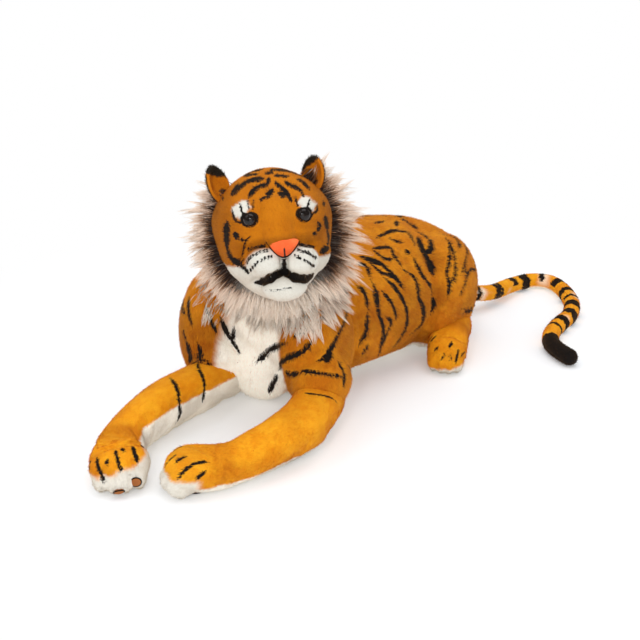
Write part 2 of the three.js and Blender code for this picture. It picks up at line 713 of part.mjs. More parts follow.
function addLegTop(name, leg, form) {
  const openings = [torsoCut, neckCut, leg.socket, tailSocket];
  const skin = cut(onFloor(shell(form)), ...openings);
  piece(tiger, `${name}_${leg.name}_skin`, skin, FINISH.orangePlush);
  piece(tiger, `${name}_${leg.name}_stuffing`, cut(filling(form), ...openings), FINISH.stuffing);
}

function addLimb(name, leg, form, roundLength, seamHeight, hasPad) {
  const tip = leg.end.at.clone().addScaledVector(leg.heading, roundLength - TOE_PANEL_LENGTH);
  const toeSpace = beyond(tip, leg.heading);
  const skin = onFloor(withToes(form(0), leg, roundLength).subtract(hollow(form)));
  const rest = skin.subtract(beyond(tip.addScaledVector(leg.heading, -SEAM_GAP), leg.heading));
  const label = `${name}_${leg.name}`;
  piece(tiger, `${label}_upper_panel`, rest.subtract(below(seamHeight + SEAM_GAP)), FINISH.orangePlush);
  piece(tiger, `${label}_under_panel`, rest.intersect(below(seamHeight)), FINISH.whitePlush);
  const front = skin.intersect(toeSpace);
  const toePanel = hasPad ? front.subtract(padCutter(leg, SEAM_GAP)) : front;
  piece(tiger, `${label}_toes`, toePanel, FINISH.whitePlush);
  if (hasPad) piece(tiger, `${label}_pad`, front.intersect(padCutter(leg, 0)), FINISH.padPlush);
  piece(tiger, `${label}_stuffing`, filling(form).add(ballAndStem(leg.seam)), FINISH.stuffing);
}

function addTail() {
  for (let number = 0; number < tailSeams.length; number++) {
    const form = tailForm(number);
    const isTip = number === tailSeams.length - 1;
    const finish = isTip ? FINISH.blackPlush : FINISH.orangePlush;
    const core = filling(form).add(ballAndStem(tailSeams[number]));
    piece(tiger, `tail_${number + 1}_skin`, onFloor(shell(form)), finish);
    piece(tiger, `tail_${number + 1}_stuffing`, isTip ? core : cupped(core, number + 1), FINISH.stuffing);
  }
}

function addHead() {
  head.position.copy(neckCentre);
  head.quaternion.copy(headTurn);
  tiger.add(head);
  const seats = [neckInHead, ...eyes.map(eyeSeat), ...ears.map((ear) => ear.seat)];
  piece(head, "head_skin", cut(shell(headForm), ...seats), FINISH.orangePlush);
  piece(head, "head_stuffing", cut(filling(headForm), ...seats), FINISH.stuffing);

  const face = headForm(SEAM_GAP);
  const underBridge = bridgeForm(SEAM_GAP);
  const underMuzzle = SIDES.map(({ side }) => muzzleForm(side, SEAM_GAP));
  piece(head, "bridge", bridgeForm(0).subtract(face), FINISH.orangePlush);
  for (const { name, side } of SIDES) {
    const middle = beyond(inHead((side * SEAM_GAP) / 2, 0, 0), point(-side, 0, 0));
    const cushion = cut(muzzleForm(side, 0), face, underBridge, middle);
    piece(head, `muzzle_${name}`, cushion, FINISH.whitePlush);
  }
  piece(head, "chin", cut(chinForm(), face, ...underMuzzle), FINISH.whitePlush);
  piece(head, "nose", cut(noseForm(), face, underBridge, ...underMuzzle), FINISH.nosePlush);
  for (const eye of eyes) {
    piece(head, `eye_${eye.name}`, eyeForm(eye), FINISH.eyePlastic);
    piece(head, `eye_washer_${eye.name}`, washerForm(eye), FINISH.washerPlastic);
  }
  for (const ear of ears) {
    piece(head, `ear_${ear.name}_outer`, ear.outer, FINISH.blackPlush);
    piece(head, `ear_${ear.name}_lining`, ear.lining, FINISH.orangePlush);
  }
  piece(head, "ruff", ruffForm(), FINISH.ruffPlush);
}

// Where each sewn joint flexes, the line it flexes round, and how far to either side
function seamList() {
  head.updateMatrix();
  const place = (spot) => spot.clone().add(tiger.position);
  const inTiger = (spot) => place(spot.clone().applyMatrix4(head.matrix));
  const around = (axis) => axis.clone().transformDirection(head.matrix);
  const both = (swing) => [-swing, swing];
  const list = [
    { name: "head_turn", at: place(neckCentre), axis: UP, range: HEAD_TURN_RANGE },
    { name: "head_nod", at: place(neckCentre), axis: around(point(1, 0, 0)), range: both(HEAD_NOD) },
  ];
  for (const { name, root, axis } of ears) {
    list.push({ name: `ear_${name}`, at: inTiger(root), axis: around(axis), range: both(EAR_SWING) });
  }
  for (const [name, legs] of [["foreleg", forelegs], ["hind_foot", hindlegs]]) {
    for (const leg of legs) {
      const at = place(leg.seam.centre);
      list.push({ name: `${name}_${leg.name}`, at, axis: UP, range: leg.range });
    }
  }
  tailSeams.forEach(({ centre, toward, swing }, number) => {
    const level = point(0, 0, 0).crossVectors(toward, UP).normalize();
    const bend = number ? { axis: UP, range: both(swing) } : { axis: level, range: [0, swing] };
    list.push({ name: `tail_${number + 1}`, at: place(centre), ...bend });
  });
  return list;
}

addTorso();
addNeck();
for (const leg of forelegs) {
  const top = legTopForm(leg, SHOULDER_WIDTH, SHOULDER_LENGTH, SHOULDER_HEIGHT);
  const form = limbForm(leg, 5, PAW_ROUND);
  addLegTop("shoulder", leg, top);
  addLimb("foreleg", leg, form, PAW_ROUND, FORELEG_SEAM_HEIGHT, true);
}
for (const leg of hindlegs) {
  const top = legTopForm(leg, HAUNCH_WIDTH, HAUNCH_LENGTH, HAUNCH_HEIGHT);
  addLegTop("haunch", leg, top);
  const form = limbForm(leg, 3, HIND_PAW_ROUND);
  addLimb("hind_foot", leg, form, HIND_PAW_ROUND, HIND_FOOT_SEAM_HEIGHT, false);
}
addTail();
addHead();

// The origin is on the floor, under the middle of the tiger's box.
const box = new THREE.Box3().setFromObject(tiger, true);
const middle = box.getCenter(point(0, 0, 0));
tiger.position.set(-middle.x, -middle.y, -box.min.z);
tiger.userData.seams = seamList();

export default tiger;
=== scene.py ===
# %% [markdown]
# # A large lying plush tiger
#
# The real toy is sewn from short, dense plush over fibre stuffing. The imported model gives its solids
# and its joints. This lesson dresses them: smooth stuffed skins, painted stripes, a pile of real
# hairs, a long ruff, glossy eyes, and the light of a small studio. The frame comes first, because
# every piece is placed by it.

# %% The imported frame
import json
import math

import bpy
import numpy as np
from mathutils import Euler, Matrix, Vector


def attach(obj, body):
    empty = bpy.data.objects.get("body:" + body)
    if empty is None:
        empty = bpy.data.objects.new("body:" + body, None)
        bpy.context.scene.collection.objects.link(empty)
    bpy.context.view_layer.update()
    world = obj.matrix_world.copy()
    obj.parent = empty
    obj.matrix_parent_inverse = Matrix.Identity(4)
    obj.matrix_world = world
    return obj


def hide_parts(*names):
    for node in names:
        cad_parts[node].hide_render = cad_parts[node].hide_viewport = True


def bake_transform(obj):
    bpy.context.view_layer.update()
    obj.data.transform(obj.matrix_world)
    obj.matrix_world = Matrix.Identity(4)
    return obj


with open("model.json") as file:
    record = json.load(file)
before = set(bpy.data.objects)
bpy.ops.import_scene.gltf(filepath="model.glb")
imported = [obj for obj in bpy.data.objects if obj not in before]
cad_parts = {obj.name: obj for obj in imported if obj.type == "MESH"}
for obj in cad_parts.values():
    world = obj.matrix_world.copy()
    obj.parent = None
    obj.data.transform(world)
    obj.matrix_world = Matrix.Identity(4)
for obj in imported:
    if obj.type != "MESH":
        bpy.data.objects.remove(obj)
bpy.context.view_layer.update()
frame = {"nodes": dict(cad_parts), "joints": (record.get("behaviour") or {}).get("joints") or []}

MM = 0.001
joints = {joint["name"]: np.array(joint["pos_m"]) / MM for joint in frame["joints"]}

# %% [markdown]
# ## Smooth lines and closed forms
#
# A stuffed limb is a tube whose girth changes along a bent line. It could be sculpted by hand, but
# a few stations with a middle, a half width and a half height are easier to keep in step with the
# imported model. A smooth curve runs through the stations, so the tube has no corners.

# %% A smooth line through stations
def spline(rows, count):
    rows = np.asarray(rows, float)
    ends = np.vstack([2 * rows[0] - rows[1], rows, 2 * rows[-1] - rows[-2]])
    place = np.linspace(0, len(rows) - 1, count)
    low = np.minimum(place.astype(int), len(rows) - 2)
    share = (place - low)[:, None]
    a, b, c, d = (ends[low + step] for step in range(4))
    return 0.5 * (2 * b + (c - a) * share + (2 * a - 5 * b + 4 * c - d) * share**2
                  + (3 * b - a - 3 * c + d) * share**3)


def unit(vectors):
    return vectors / np.maximum(np.linalg.norm(vectors, axis=-1, keepdims=True), 1e-9)


def span(vectors):
    return np.linalg.norm(vectors, axis=-1)


def gaps(points, line):
    return span(points[:, None] - line[None])


def over_floor(vectors):
    return unit(vectors * (1, 1, 0))


# %% A closed tube along stations of x, y, z, half width, half height
UP = np.array([0.0, 0.0, 1.0])


def loft(stations, front=0, rear=0, rings=48, around=40):
    rows = spline(stations, rings)
    tangent = unit(np.gradient(rows[:, :3], axis=0))
    hoops = [(row[:3], row[3], row[4], line) for row, line in zip(rows, tangent)]
    angles = np.linspace(0, math.pi / 2, 12)[1:]
    for angle in angles:
        share = max(math.cos(angle), 0.03)
        if front:
            row, line = rows[0], tangent[0]
            spot = row[:3] - line * front * math.sin(angle)
            hoops.insert(0, (spot, row[3] * share, row[4] * share, line))
        if rear:
            row, line = rows[-1], tangent[-1]
            spot = row[:3] + line * rear * math.sin(angle)
            hoops.append((spot, row[3] * share, row[4] * share, line))
    turn = np.linspace(0, 2 * math.pi, around, endpoint=False)
    verts = []
    for spot, wide, tall, line in hoops:
        side = unit(np.cross(line, UP))
        top = np.cross(side, line)
        ring = np.outer(np.cos(turn) * wide, side) + np.outer(np.sin(turn) * tall, top)
        verts.append(spot + ring)
    return np.vstack(verts), tube_faces(len(hoops), around)


def tube_faces(hoops, around):
    faces = [list(range(around))[::-1], [(hoops - 1) * around + step for step in range(around)]]
    for hoop in range(hoops - 1):
        for step in range(around):
            ahead = (step + 1) % around
            low, high = hoop * around, (hoop + 1) * around
            faces.append([low + step, low + ahead, high + ahead, high + step])
    return faces


# %% An egg of three half sizes, turned by a matrix
def egg(centre, halves, turn=np.eye(3), around=40):
    ups = np.linspace(-math.pi / 2, math.pi / 2, around // 2)[1:-1]
    turns = np.linspace(0, 2 * math.pi, around, endpoint=False)
    rings = [[math.cos(up) * math.cos(a), math.cos(up) * math.sin(a), math.sin(up)]
             for up in ups for a in turns]
    verts = (np.array(rings) * halves) @ np.asarray(turn).T + centre
    return verts, tube_faces(len(ups), around)


# %% A mesh object from points in millimetres
def mesh_object(name, verts, faces):
    mesh = bpy.data.meshes.new(name)
    mesh.from_pydata((np.asarray(verts) * MM).tolist(), [], faces)
    mesh.update()
    piece = bpy.data.objects.new(name, mesh)
    bpy.context.collection.objects.link(piece)
    return piece


def points_of(piece):
    found = np.empty(len(piece.data.vertices) * 3)
    piece.data.vertices.foreach_get("co", found)
    return found.reshape(-1, 3) / MM


def put_points(piece, points):
    piece.data.vertices.foreach_set("co", (points * MM).ravel())
    piece.data.update()


def normals_of(piece):
    found = np.empty(len(piece.data.vertices) * 3, np.float32)
    piece.data.vertex_normals.foreach_get("vector", found)
    return found.reshape(-1, 3).astype(float)


# %% [markdown]
# ## One skin from many forms
#
# Where a shoulder is sewn to the body the plush runs on without a gap. Joining the forms with a
# voxel remesh makes one closed skin from them, and a few rounds of smoothing round the joins as
# stuffing does. The underside is pressed flat where the toy lies. The torso and the legs then get
# folds at their seams, and a short cloth simulation blows the skin up between them.

# %% Joining forms into a skin
FLOOR_LIFT = 0.6


def off_floor(points):
    points[:, 2] = np.maximum(points[:, 2], FLOOR_LIFT)
    return points


def apply_modifiers(piece):
    graph = bpy.context.evaluated_depsgraph_get()
    fresh = bpy.data.meshes.new_from_object(piece.evaluated_get(graph))
    piece.modifiers.clear()
    piece.data = fresh


def finer(piece):
    more = piece.modifiers.new("finer", "SUBSURF")
    more.levels = 1
    apply_modifiers(piece)
    piece.data.shade_smooth()


def together(forms):
    verts, faces, base = [], [], 0
    for form_verts, form_faces in forms:
        verts.append(form_verts)
        faces += [[base + v for v in face] for face in form_faces]
        base += len(form_verts)
    return np.vstack(verts), faces


def skin(name, forms, voxel, smooth, floor=True):
    piece = mesh_object(name, *together(forms))
    remesh = piece.modifiers.new("joined", "REMESH")
    remesh.mode = "VOXEL"
    remesh.voxel_size = voxel * MM
    if smooth:
        rounded = piece.modifiers.new("rounded", "SMOOTH")
        rounded.factor = 0.5
        rounded.iterations = smooth
    apply_modifiers(piece)
    if floor:
        put_points(piece, off_floor(points_of(piece)))
    piece.data.shade_smooth()
    print(name, "skin:", len(piece.data.polygons), "faces")
    return piece


# %% Folds pressed into a skin along lines: depth, half width and points
def crease(piece, lines, drawn=None):
    for deep, half, path in lines:
        points, normals = points_of(piece), normals_of(piece)
        line = spline(path, 8 * len(path))
        margin = 3 * half
        place, share = drawn(points, normals) if drawn else (points, np.ones(len(points)))
        near = np.nonzero(((place > line.min(0) - margin) & (place < line.max(0) + margin)).all(1))[0]
        if not len(near):
            continue
        close = gaps(place[near], line).min(1)
        points[near] -= normals[near] * (deep * share[near] * np.exp(-(close / half) ** 2))[:, None]
        put_points(piece, points)


# %% The points that sewing or the floor holds in place
ON_FLOOR = 2.5


def sewn_points(piece, lines, reach=6):
    points = points_of(piece)
    near = points[:, 2] < ON_FLOOR
    for _, _, path in lines:
        line = spline(path, 8 * len(path))
        box = ((points > line.min(0) - reach) & (points < line.max(0) + reach)).all(1)
        rows = np.nonzero(box)[0]
        if len(rows):
            near[rows] |= gaps(points[rows], line).min(1) < reach
    return near


# %% Cloth simulation: each skin is blown up by its stuffing and held at its sewn lines
SIM_FRAMES, SIM_QUALITY = 10, 4
PRESSURE, SLACK = 4.0, 0.03


def stuffed(skins):
    scene = bpy.context.scene
    for piece, sewn, smaller, _ in skins:
        put_points(piece, points_of(piece) - normals_of(piece) * (smaller * ~sewn)[:, None])
        group = piece.vertex_groups.new(name="sewn")
        group.add(np.nonzero(sewn)[0].tolist(), 1.0, "REPLACE")
        cloth = piece.modifiers.new("stuffing", "CLOTH")
        cloth.settings.quality = SIM_QUALITY
        cloth.settings.use_pressure = True
        cloth.settings.uniform_pressure_force = PRESSURE
        cloth.settings.effector_weights.gravity = 0
        cloth.settings.vertex_group_mass = "sewn"
        cloth.settings.shrink_min = cloth.settings.shrink_max = -SLACK
        cloth.point_cache.frame_start = 1
        cloth.point_cache.frame_end = SIM_FRAMES
    for step in range(1, SIM_FRAMES + 1):
        scene.frame_set(step)
    graph = bpy.context.evaluated_depsgraph_get()
    blown = [points_of(piece.evaluated_get(graph)) for piece, *_ in skins]
    for (piece, _, _, cap), after in zip(skins, blown):
        before = points_of(piece)
        piece.modifiers.clear()
        piece.vertex_groups.clear()
        moved = after - before
        length = np.maximum(span(moved), 1e-6)
        put_points(piece, off_floor(before + moved * np.minimum(1, cap / length)[:, None]))
        print(piece.name, "blown up", round(float(np.median(length)), 1), "mm, at most", cap, "kept")
    scene.frame_set(1)


# %% [markdown]
# ## The body's sizes
#
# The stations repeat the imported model's own sizes in millimetres: a place across and along as a share
# of the torso, and half sizes. The torso, both shoulders and both haunches become one skin, because
# on the toy the plush is sewn on round them and nothing there moves.

# %% The torso's stations
TORSO_LENGTH, TORSO_WIDTH, TORSO_HEIGHT = 625, 296, 312
NECK_SHARES = (-0.203, -0.194, 0.968)
design_neck = np.array([NECK_SHARES[0] * TORSO_WIDTH, NECK_SHARES[1] * TORSO_LENGTH,
                        NECK_SHARES[2] * TORSO_HEIGHT])
neck = joints["head_turn"]
shift = neck - design_neck


def on_torso(across, along, height):
    return np.array([across * TORSO_WIDTH, along * TORSO_LENGTH, height]) + shift


TORSO_ROWS = [
    (-0.297, -0.152, 0.8, 0.9), (-0.236, -0.032, 0.93, 0.99), (-0.13, 0.128, 0.97, 1),
    (-0.015, 0.288, 0.96, 0.965), (0.085, 0.448, 0.91, 0.88), (0.14, 0.58, 0.78, 0.74),
]
torso_stations = [
    (*on_torso(x, y, tall * TORSO_HEIGHT / 2), wide * TORSO_WIDTH / 2, tall * TORSO_HEIGHT / 2)
    for x, y, wide, tall in TORSO_ROWS
]
spine = spline([row[:3] for row in torso_stations], 60)
print("torso from y", round(spine[0, 1]), "to", round(spine[-1, 1]), "mm")

# %% The torso's skin
SHOULDER_HALF = (66, 93, 129)
HAUNCH_HALF = (76, 125, 125)
leg_tops = [
    (on_torso(0.068, -0.152, 0), SHOULDER_HALF), (on_torso(-0.642, -0.184, 0), SHOULDER_HALF),
    (on_torso(0.355, 0.464, 0), HAUNCH_HALF), (on_torso(-0.13, 0.5, 0), HAUNCH_HALF),
]
torso_forms = [loft(torso_stations, front=58, rear=92)]
for place, halves in leg_tops:
    torso_forms.append(egg(place + (0, 0, halves[2]), halves))
nape = [(*(neck + (6, 34, -70)), 88, 84), (*neck, 76, 72), (*(neck + (22, -40, 30)), 70, 68)]
torso_forms.append(loft(nape, front=40, rear=20))
ELBOWS = {"foreleg_left": (0, 6, 82), "foreleg_right": (-8, 4, 84)}
ELBOW_HALF = (58, 66, 62)
BREAST, BREAST_HALF = (-168, -212, 62), (74, 48, 62)
for name, reach in ELBOWS.items():
    torso_forms.append(egg(joints[name + "_swing"] * (1, 1, 0) + reach, ELBOW_HALF))
torso_forms.append(egg(BREAST, BREAST_HALF))
torso = skin("torso_plush", torso_forms, voxel=5, smooth=16)

# %% Folds of the body: the flanks, the elbows, behind the shoulders and down the chest
FLANK = [(-3, 149, 267), (19, 123, 248), (42, 110, 222), (54, 112, 193), (63, 103, 164), (68, 98, 124),
         (58, 92, 90)]
BODY_FOLDS = [
    (10, 13, FLANK),
    (5, 16, [(-10, -110, 60), (-10, -108, 124), (-13, -119, 185), (-26, -126, 226)]),
    (6, 9, [(-112, -238, 73), (-81, -264, 96), (-45, -274, 107), (-12, -252, 104), (6, -216, 92)]),
    (5, 8, [(-263, -299, 92), (-236, -292, 90), (-216, -280, 88), (-202, -262, 78)]),
    (3, 5, [(-146, -254, 195), (-152, -248, 141), (-160, -240, 91), (-164, -232, 40)]),
    (4, 10, [(52, 89, 97), (74, 109, 121), (91, 143, 112), (98, 187, 90)]),
    (3, 9, [(-60, -262, 140), (-30, -264, 128), (0, -246, 126), (20, -222, 130)]),
    (3, 8, [(-40, 20, 300), (-10, 40, 280), (20, 50, 250)]),
]


def far_side(lines):
    other = []
    for deep, half, path in lines:
        path = np.asarray(path, float)
        middle = np.interp(path[:, 1], spine[:, 1], spine[:, 0])
        other.append((deep, half, np.column_stack([2 * middle - path[:, 0], path[:, 1:]])))
    return other


body_folds = BODY_FOLDS + far_side(BODY_FOLDS[:2] + BODY_FOLDS[5:6])
crease(torso, body_folds)

# %% [markdown]
# ## Legs
#
# Each lower foreleg is a bent tube that starts inside the shoulder and ends in a paw, drawn in to
# four toes by tight stitches. Small eggs beside each other make the toes, and the remesh sews them
# on. The tube begins a little before its joint.

# %% Leg rows: share of the torso for the joint, then the path in shares of the limb's length
FORELEG_LENGTH, FORELEG_HALF = 400, 49
HIND_LENGTH, HIND_HALF = 188, 44
LEGS = {
    "foreleg_left": ("foreleg_left_swing", FORELEG_LENGTH, FORELEG_HALF, 46, [
        (0.055, -0.188, 1, 0.98), (0.065, -0.358, 0.98, 0.94), (0.005, -0.563, 0.92, 0.82),
        (-0.075, -0.725, 0.92, 0.76), (-0.175, -0.81, 1.08, 0.78)]),
    "foreleg_right": ("foreleg_right_swing", FORELEG_LENGTH, FORELEG_HALF, 46, [
        (-0.015, -0.213, 1, 0.98), (-0.038, -0.45, 0.98, 0.96), (-0.025, -0.7, 0.88, 0.82),
        (0.025, -0.838, 1.02, 0.78), (0.09, -0.92, 1.12, 0.8)]),
    "hind_foot_left": ("hind_foot_left_swing", HIND_LENGTH, HIND_HALF, 50, [
        (0.096, -0.285, 0.98, 0.98), (0.162, -0.48, 1, 0.92), (0.218, -0.645, 1.02, 0.86)]),
    "hind_foot_right": ("hind_foot_right_swing", HIND_LENGTH, HIND_HALF, 52, [
        (-0.2, -0.22, 0.98, 0.98), (-0.34, -0.39, 1, 0.92), (-0.46, -0.55, 1.02, 0.86)]),
}


def leg_stations(joint_name, length, half, path):
    joint = joints[joint_name]
    rows = []
    for x, y, wide, tall in path:
        spot = joint + (x * length, y * length, 0)
        spot[2] = tall * half
        rows.append((*spot, wide * half, tall * half))
    first = np.array(rows[0][:3])
    inward = over_floor(joint - first)
    start = joint + inward * 18
    start[2] = half * 1.05
    return [(*start, half * 0.94, half * 0.98), (*(joint * (1, 1, 0) + (0, 0, half)), half, half)] + rows


# %% Paws with toes, and the folds at the wrists
TOE_SPOTS = (-0.75, -0.25, 0.25, 0.75)
WRISTS = {
    "foreleg_left": [[(-106, -545, 40), (-84, -541, 68), (-57, -546, 74), (-37, -563, 62), (-26, -574, 34),
                      (-24, -578, 12)]],
    "foreleg_right": [[(-248, -642, 26), (-236, -636, 58), (-214, -619, 76), (-197, -595, 76),
                       (-190, -566, 58), (-188, -550, 28)]],
    "hind_foot_left": [[(60, 84, 30), (78, 92, 62), (104, 104, 76), (134, 112, 62), (150, 118, 30)]],
}


def leg_skin(name):
    joint_name, length, half, paw_round, path = LEGS[name]
    stations = leg_stations(joint_name, length, half, path)
    end, before = np.array(stations[-1]), np.array(stations[-2])
    heading = over_floor(end[:3] - before[:3])
    side = np.array([-heading[1], heading[0], 0])
    forms = [loft(stations, front=24, rear=paw_round)]
    turn = np.column_stack([heading, side, UP])
    for spot in TOE_SPOTS:
        reach = paw_round - 18 * (1 + spot * spot)
        place = end[:3] + heading * reach + side * spot * (end[3] - 12)
        place[2] = 24
        forms.append(egg(place, (26, 15.5, 24), turn, around=24))
    piece = skin(name + "_plush", forms, voxel=4, smooth=5)
    folds = [(5, 8, path) for path in WRISTS.get(name, [])]
    for spot in (-0.5, 0, 0.5):
        middle = end[:3] + side * spot * (end[3] - 12)
        front = middle + heading * (paw_round - 2 - 10 * spot * spot)
        folds.append((4, 4, [front + (0, 0, -24), front + (0, 0, 4), front - heading * 14 + (0, 0, 24)]))
    crease(piece, folds)
    to_stuff.append((piece, sewn_points(piece, folds, 4), LEG_TUCK, LEG_SWELL))
    return piece, np.array(stations), heading


# %% The legs' skins, and the stuffing of torso and legs
TORSO_TUCK, TORSO_SWELL = 4, 8
LEG_TUCK, LEG_SWELL = 3, 5
to_stuff = [(torso, sewn_points(torso, body_folds), TORSO_TUCK, TORSO_SWELL)]
legs = {name: leg_skin(name) for name in LEGS}
stuffed(to_stuff)
finer(torso)

# %% [markdown]
# ## Tail
#
# The tail is one stuffed tube that winds over the floor. It bends at four places and lifts at its
# root. Each stretch of cloth here runs from the middle of one length to the middle of the next, and
# the cut edges meet where nothing bends.

# %% The tail's line and its stretches
TAIL_LENGTH, TAIL_HALF, TAIL_ROOT_HEIGHT = 860, 18, 66
TAIL_ROWS = [(0, 0), (0.076, 0.119), (0.098, 0.254), (0.126, 0.329), (0.176, 0.349), (0.231, 0.309),
             (0.286, 0.224), (0.31, 0.134), (0.306, 0.056), (0.308, -0.011), (0.328, -0.071),
             (0.364, -0.109), (0.407, -0.137)]
TAIL_SEAMS = (0, 0.215, 0.47, 0.686, 0.843)
tail_rows = []
for number, (x, y) in enumerate(TAIL_ROWS):
    rise = max(0, 1 - number / 3) ** 2 * (TAIL_ROOT_HEIGHT - TAIL_HALF)
    tail_rows.append(on_torso(0.207, 0.696, TAIL_HALF + rise) + (x * TAIL_LENGTH, y * TAIL_LENGTH, 0))
tail_line = spline(tail_rows, 400)
run = np.concatenate([[0], np.cumsum(span(np.diff(tail_line, axis=0)))])
tail_run = run / run[-1]


def tail_at(share):
    return np.array([np.interp(share, tail_run, tail_line[:, axis]) for axis in range(3)])


def tail_stretch(number, start, end, is_tip):
    shares = np.linspace(start, end, 12)
    stations = [(*tail_at(share), TAIL_HALF, TAIL_HALF) for share in shares]
    form = loft(stations, rear=TAIL_HALF if is_tip else 0, rings=60, around=28)
    return skin(f"tail_plush_{number + 1}", [form], voxel=3, smooth=0)


tail_cuts = [-0.03] + [(a + b) / 2 for a, b in zip(TAIL_SEAMS[:-1], TAIL_SEAMS[1:])] + [0.982]
tails = [tail_stretch(n, tail_cuts[n], tail_cuts[n + 1], n == 4) for n in range(5)]
print("tail line", round(run[-1]), "mm in", len(tails), "stretches")

# %% [markdown]
# ## Head
#
# The head is a stuffed ball drawn in by stitches: full cheeks, a broad bridge, two whisker cushions
# and a chin. It is made in its own frame, with the middle of the head at zero, -Y to the front and Z
# up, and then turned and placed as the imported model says.

# %% The head's own frame
HEAD_FORWARD, HEAD_ABOVE = 108, 50
head_turn = np.array(Euler([math.radians(a) for a in (-13, -4, 39)], "XYZ").to_matrix())
head_middle = neck + head_turn @ (0, -HEAD_FORWARD, HEAD_ABOVE)


def from_head(points):
    return np.asarray(points, float) @ head_turn.T + head_middle


def to_head(points):
    return (np.asarray(points, float) - head_middle) @ head_turn


def in_head(form):
    return from_head(form[0]), form[1]


# %% The head's skin
HEAD_HALF = (102, 100, 117)
skull_verts, skull_faces = egg((0, 0, 2), HEAD_HALF, around=56)
high = np.clip(skull_verts[:, 2] / HEAD_HALF[2], -1, 1)
skull_verts[:, 0] *= 1 + 0.1 * np.sin(math.pi * np.clip(high, 0, 1)) - 0.2 * np.clip(-high, 0, 1) ** 1.6
head_forms = [(skull_verts, skull_faces)]
for side in (1, -1):
    head_forms.append(egg((side * 49, -42, -30), (43, 44, 42)))
    head_forms.append(egg((side * 31 + 2, -86, -36 - side * 2), (32, 36, 27)))
    head_forms.append(egg((side * 46, -66, 52), (28, 22, 22)))
head_forms.append(egg((2, -76, -80), (40, 33, 27)))
head_forms.append(loft([(0, -72, 62, 28, 22), (0, -88, 26, 28, 22), (1, -98, -2, 27, 20)], 10, 12))
head = skin("head_plush", [in_head(form) for form in head_forms], voxel=3.2, smooth=4, floor=False)


# %% The face as one sees it from in front, where its marks were measured
ONLOOKER = np.array([902.9, -1861.0, 989.6])
seat = to_head(ONLOOKER)
ahead = unit(seat)
seen_across = unit(np.cross(UP, ahead))
seen_up = np.cross(ahead, seen_across)


def as_seen(local):
    local = np.asarray(local, float)
    nearer = np.linalg.norm(seat) / (np.linalg.norm(seat) - local @ ahead)
    return np.column_stack([(local @ seen_across) * nearer, np.zeros(len(local)), (local @ seen_up) * nearer])


def facing_us(local, normals):
    return ((normals @ head_turn) * unit(seat - local)).sum(1)


def drawn_rows(rows):
    return [(half, as_seen(path)) for half, path in rows]


# %% [markdown]
# ## Ears
#
# Each ear is a small padded cup on the side of the crown, orange inside and black-brown behind and
# at its tip. A flattened egg with a hollow pressed into its front has that shape.

# %% Both ears
EAR_LEAN, EAR_OUTWARD = 26, 42
EAR_HALF = np.array([24, 13, 32])
EAR_SUNK, EAR_HOLLOW, EAR_TAPER, EAR_TALLER = 6, 19, 0.16, 3.5


def ear_skin(name, side):
    root = joints[f"ear_{name}_fold"]
    tilt = EAR_LEAN if side < 0 else EAR_LEAN - 12
    lean = Euler([0, math.radians(side * tilt), math.radians(-side * EAR_OUTWARD)], "XYZ")
    turn = head_turn @ np.array(lean.to_matrix())
    halves = EAR_HALF + (0, 0, EAR_TALLER if side < 0 else 0)
    verts, faces = egg((0, 0, halves[2] - EAR_SUNK), halves, around=44)
    inward = np.clip(-verts[:, 1] / halves[1], 0, 1)
    rim = np.hypot(verts[:, 0] / halves[0], (verts[:, 2] - halves[2] + EAR_SUNK) / halves[2])
    verts[:, 1] += inward * np.clip(1 - rim**3, 0, 1) * EAR_HOLLOW
    verts[:, 0] *= 1 - EAR_TAPER * np.clip(verts[:, 2] / 60, 0, 1) ** 2
    piece = mesh_object(f"ear_{name}_plush", verts @ turn.T + root, faces)
    finer(piece)
    return piece, root, turn


ears = {"left": ear_skin("left", 1), "right": ear_skin("right", -1)}
print("ear roots:", [np.round(ear[1]).tolist() for ear in ears.values()])

# %% [markdown]
# ## Painting the coat
#
# The stripes are sprayed on the finished plush. A picture mapped onto the skin would need seams, so
# each stripe is a line of points on the body with a half width, and a hair is black when its root lies
# near one. Lines over the near flank follow the toy's own, and the far side wears the same lines
# mirrored in the spine and shifted a little. Both ends taper, and some fork.

# %% How far points lie inside a set of stripes
TAPER, TAPER_END = 4.5, 0.3
WAVER, LONG_WAVE, SHORT_WAVE = 0.22, 17, 31
FAR_OFF = 1e3


def stripe_mask(points, normals, stripes, soft=0.9, depth=34, thin=None):
    mask = np.zeros(len(points))
    for half, path in stripes:
        path = np.asarray(path, float)
        line = spline(path, 6 * len(path))
        reach = half * 1.4 + 3
        low, high = line.min(0) - depth, line.max(0) + depth
        near = np.nonzero(((points > low) & (points < high)).all(1))[0]
        if not len(near):
            continue
        away = points[near][:, None] - line[None]
        deep = (away * normals[near][:, None]).sum(-1)
        flat = np.sqrt(np.maximum((away**2).sum(-1) - deep**2, 0))
        flat = np.where(np.abs(deep) < depth, flat, FAR_OFF)
        best = flat.argmin(1)
        close = flat[np.arange(len(near)), best]
        share = best / (len(line) - 1)
        taper = np.clip(TAPER * share + TAPER_END, 0, 1) * np.clip(TAPER * (1 - share) + TAPER_END, 0, 1)
        wave = WAVER * np.sin(share * LONG_WAVE + path[0, 1] * 0.7)
        wave = 1 + wave * np.sin(share * SHORT_WAVE + path[0, 2])
        width = half * taper * wave * (1 if thin is None else thin[near])
        value = np.clip((width - close) / soft + 0.5, 0, 1)
        mask[near] = np.maximum(mask[near], np.where(close < reach, value, 0))
    return mask


FAR_ALONG, FAR_UP = 6, -3


def mirrored(stripes):
    other = []
    for half, path in stripes:
        path = np.asarray(path, float)
        middle = np.interp(path[:, 1], spine[:, 1], spine[:, 0])
        row = np.column_stack([2 * middle - path[:, 0], path[:, 1] + FAR_ALONG, path[:, 2] + FAR_UP])
        other.append((half, row))
    return other


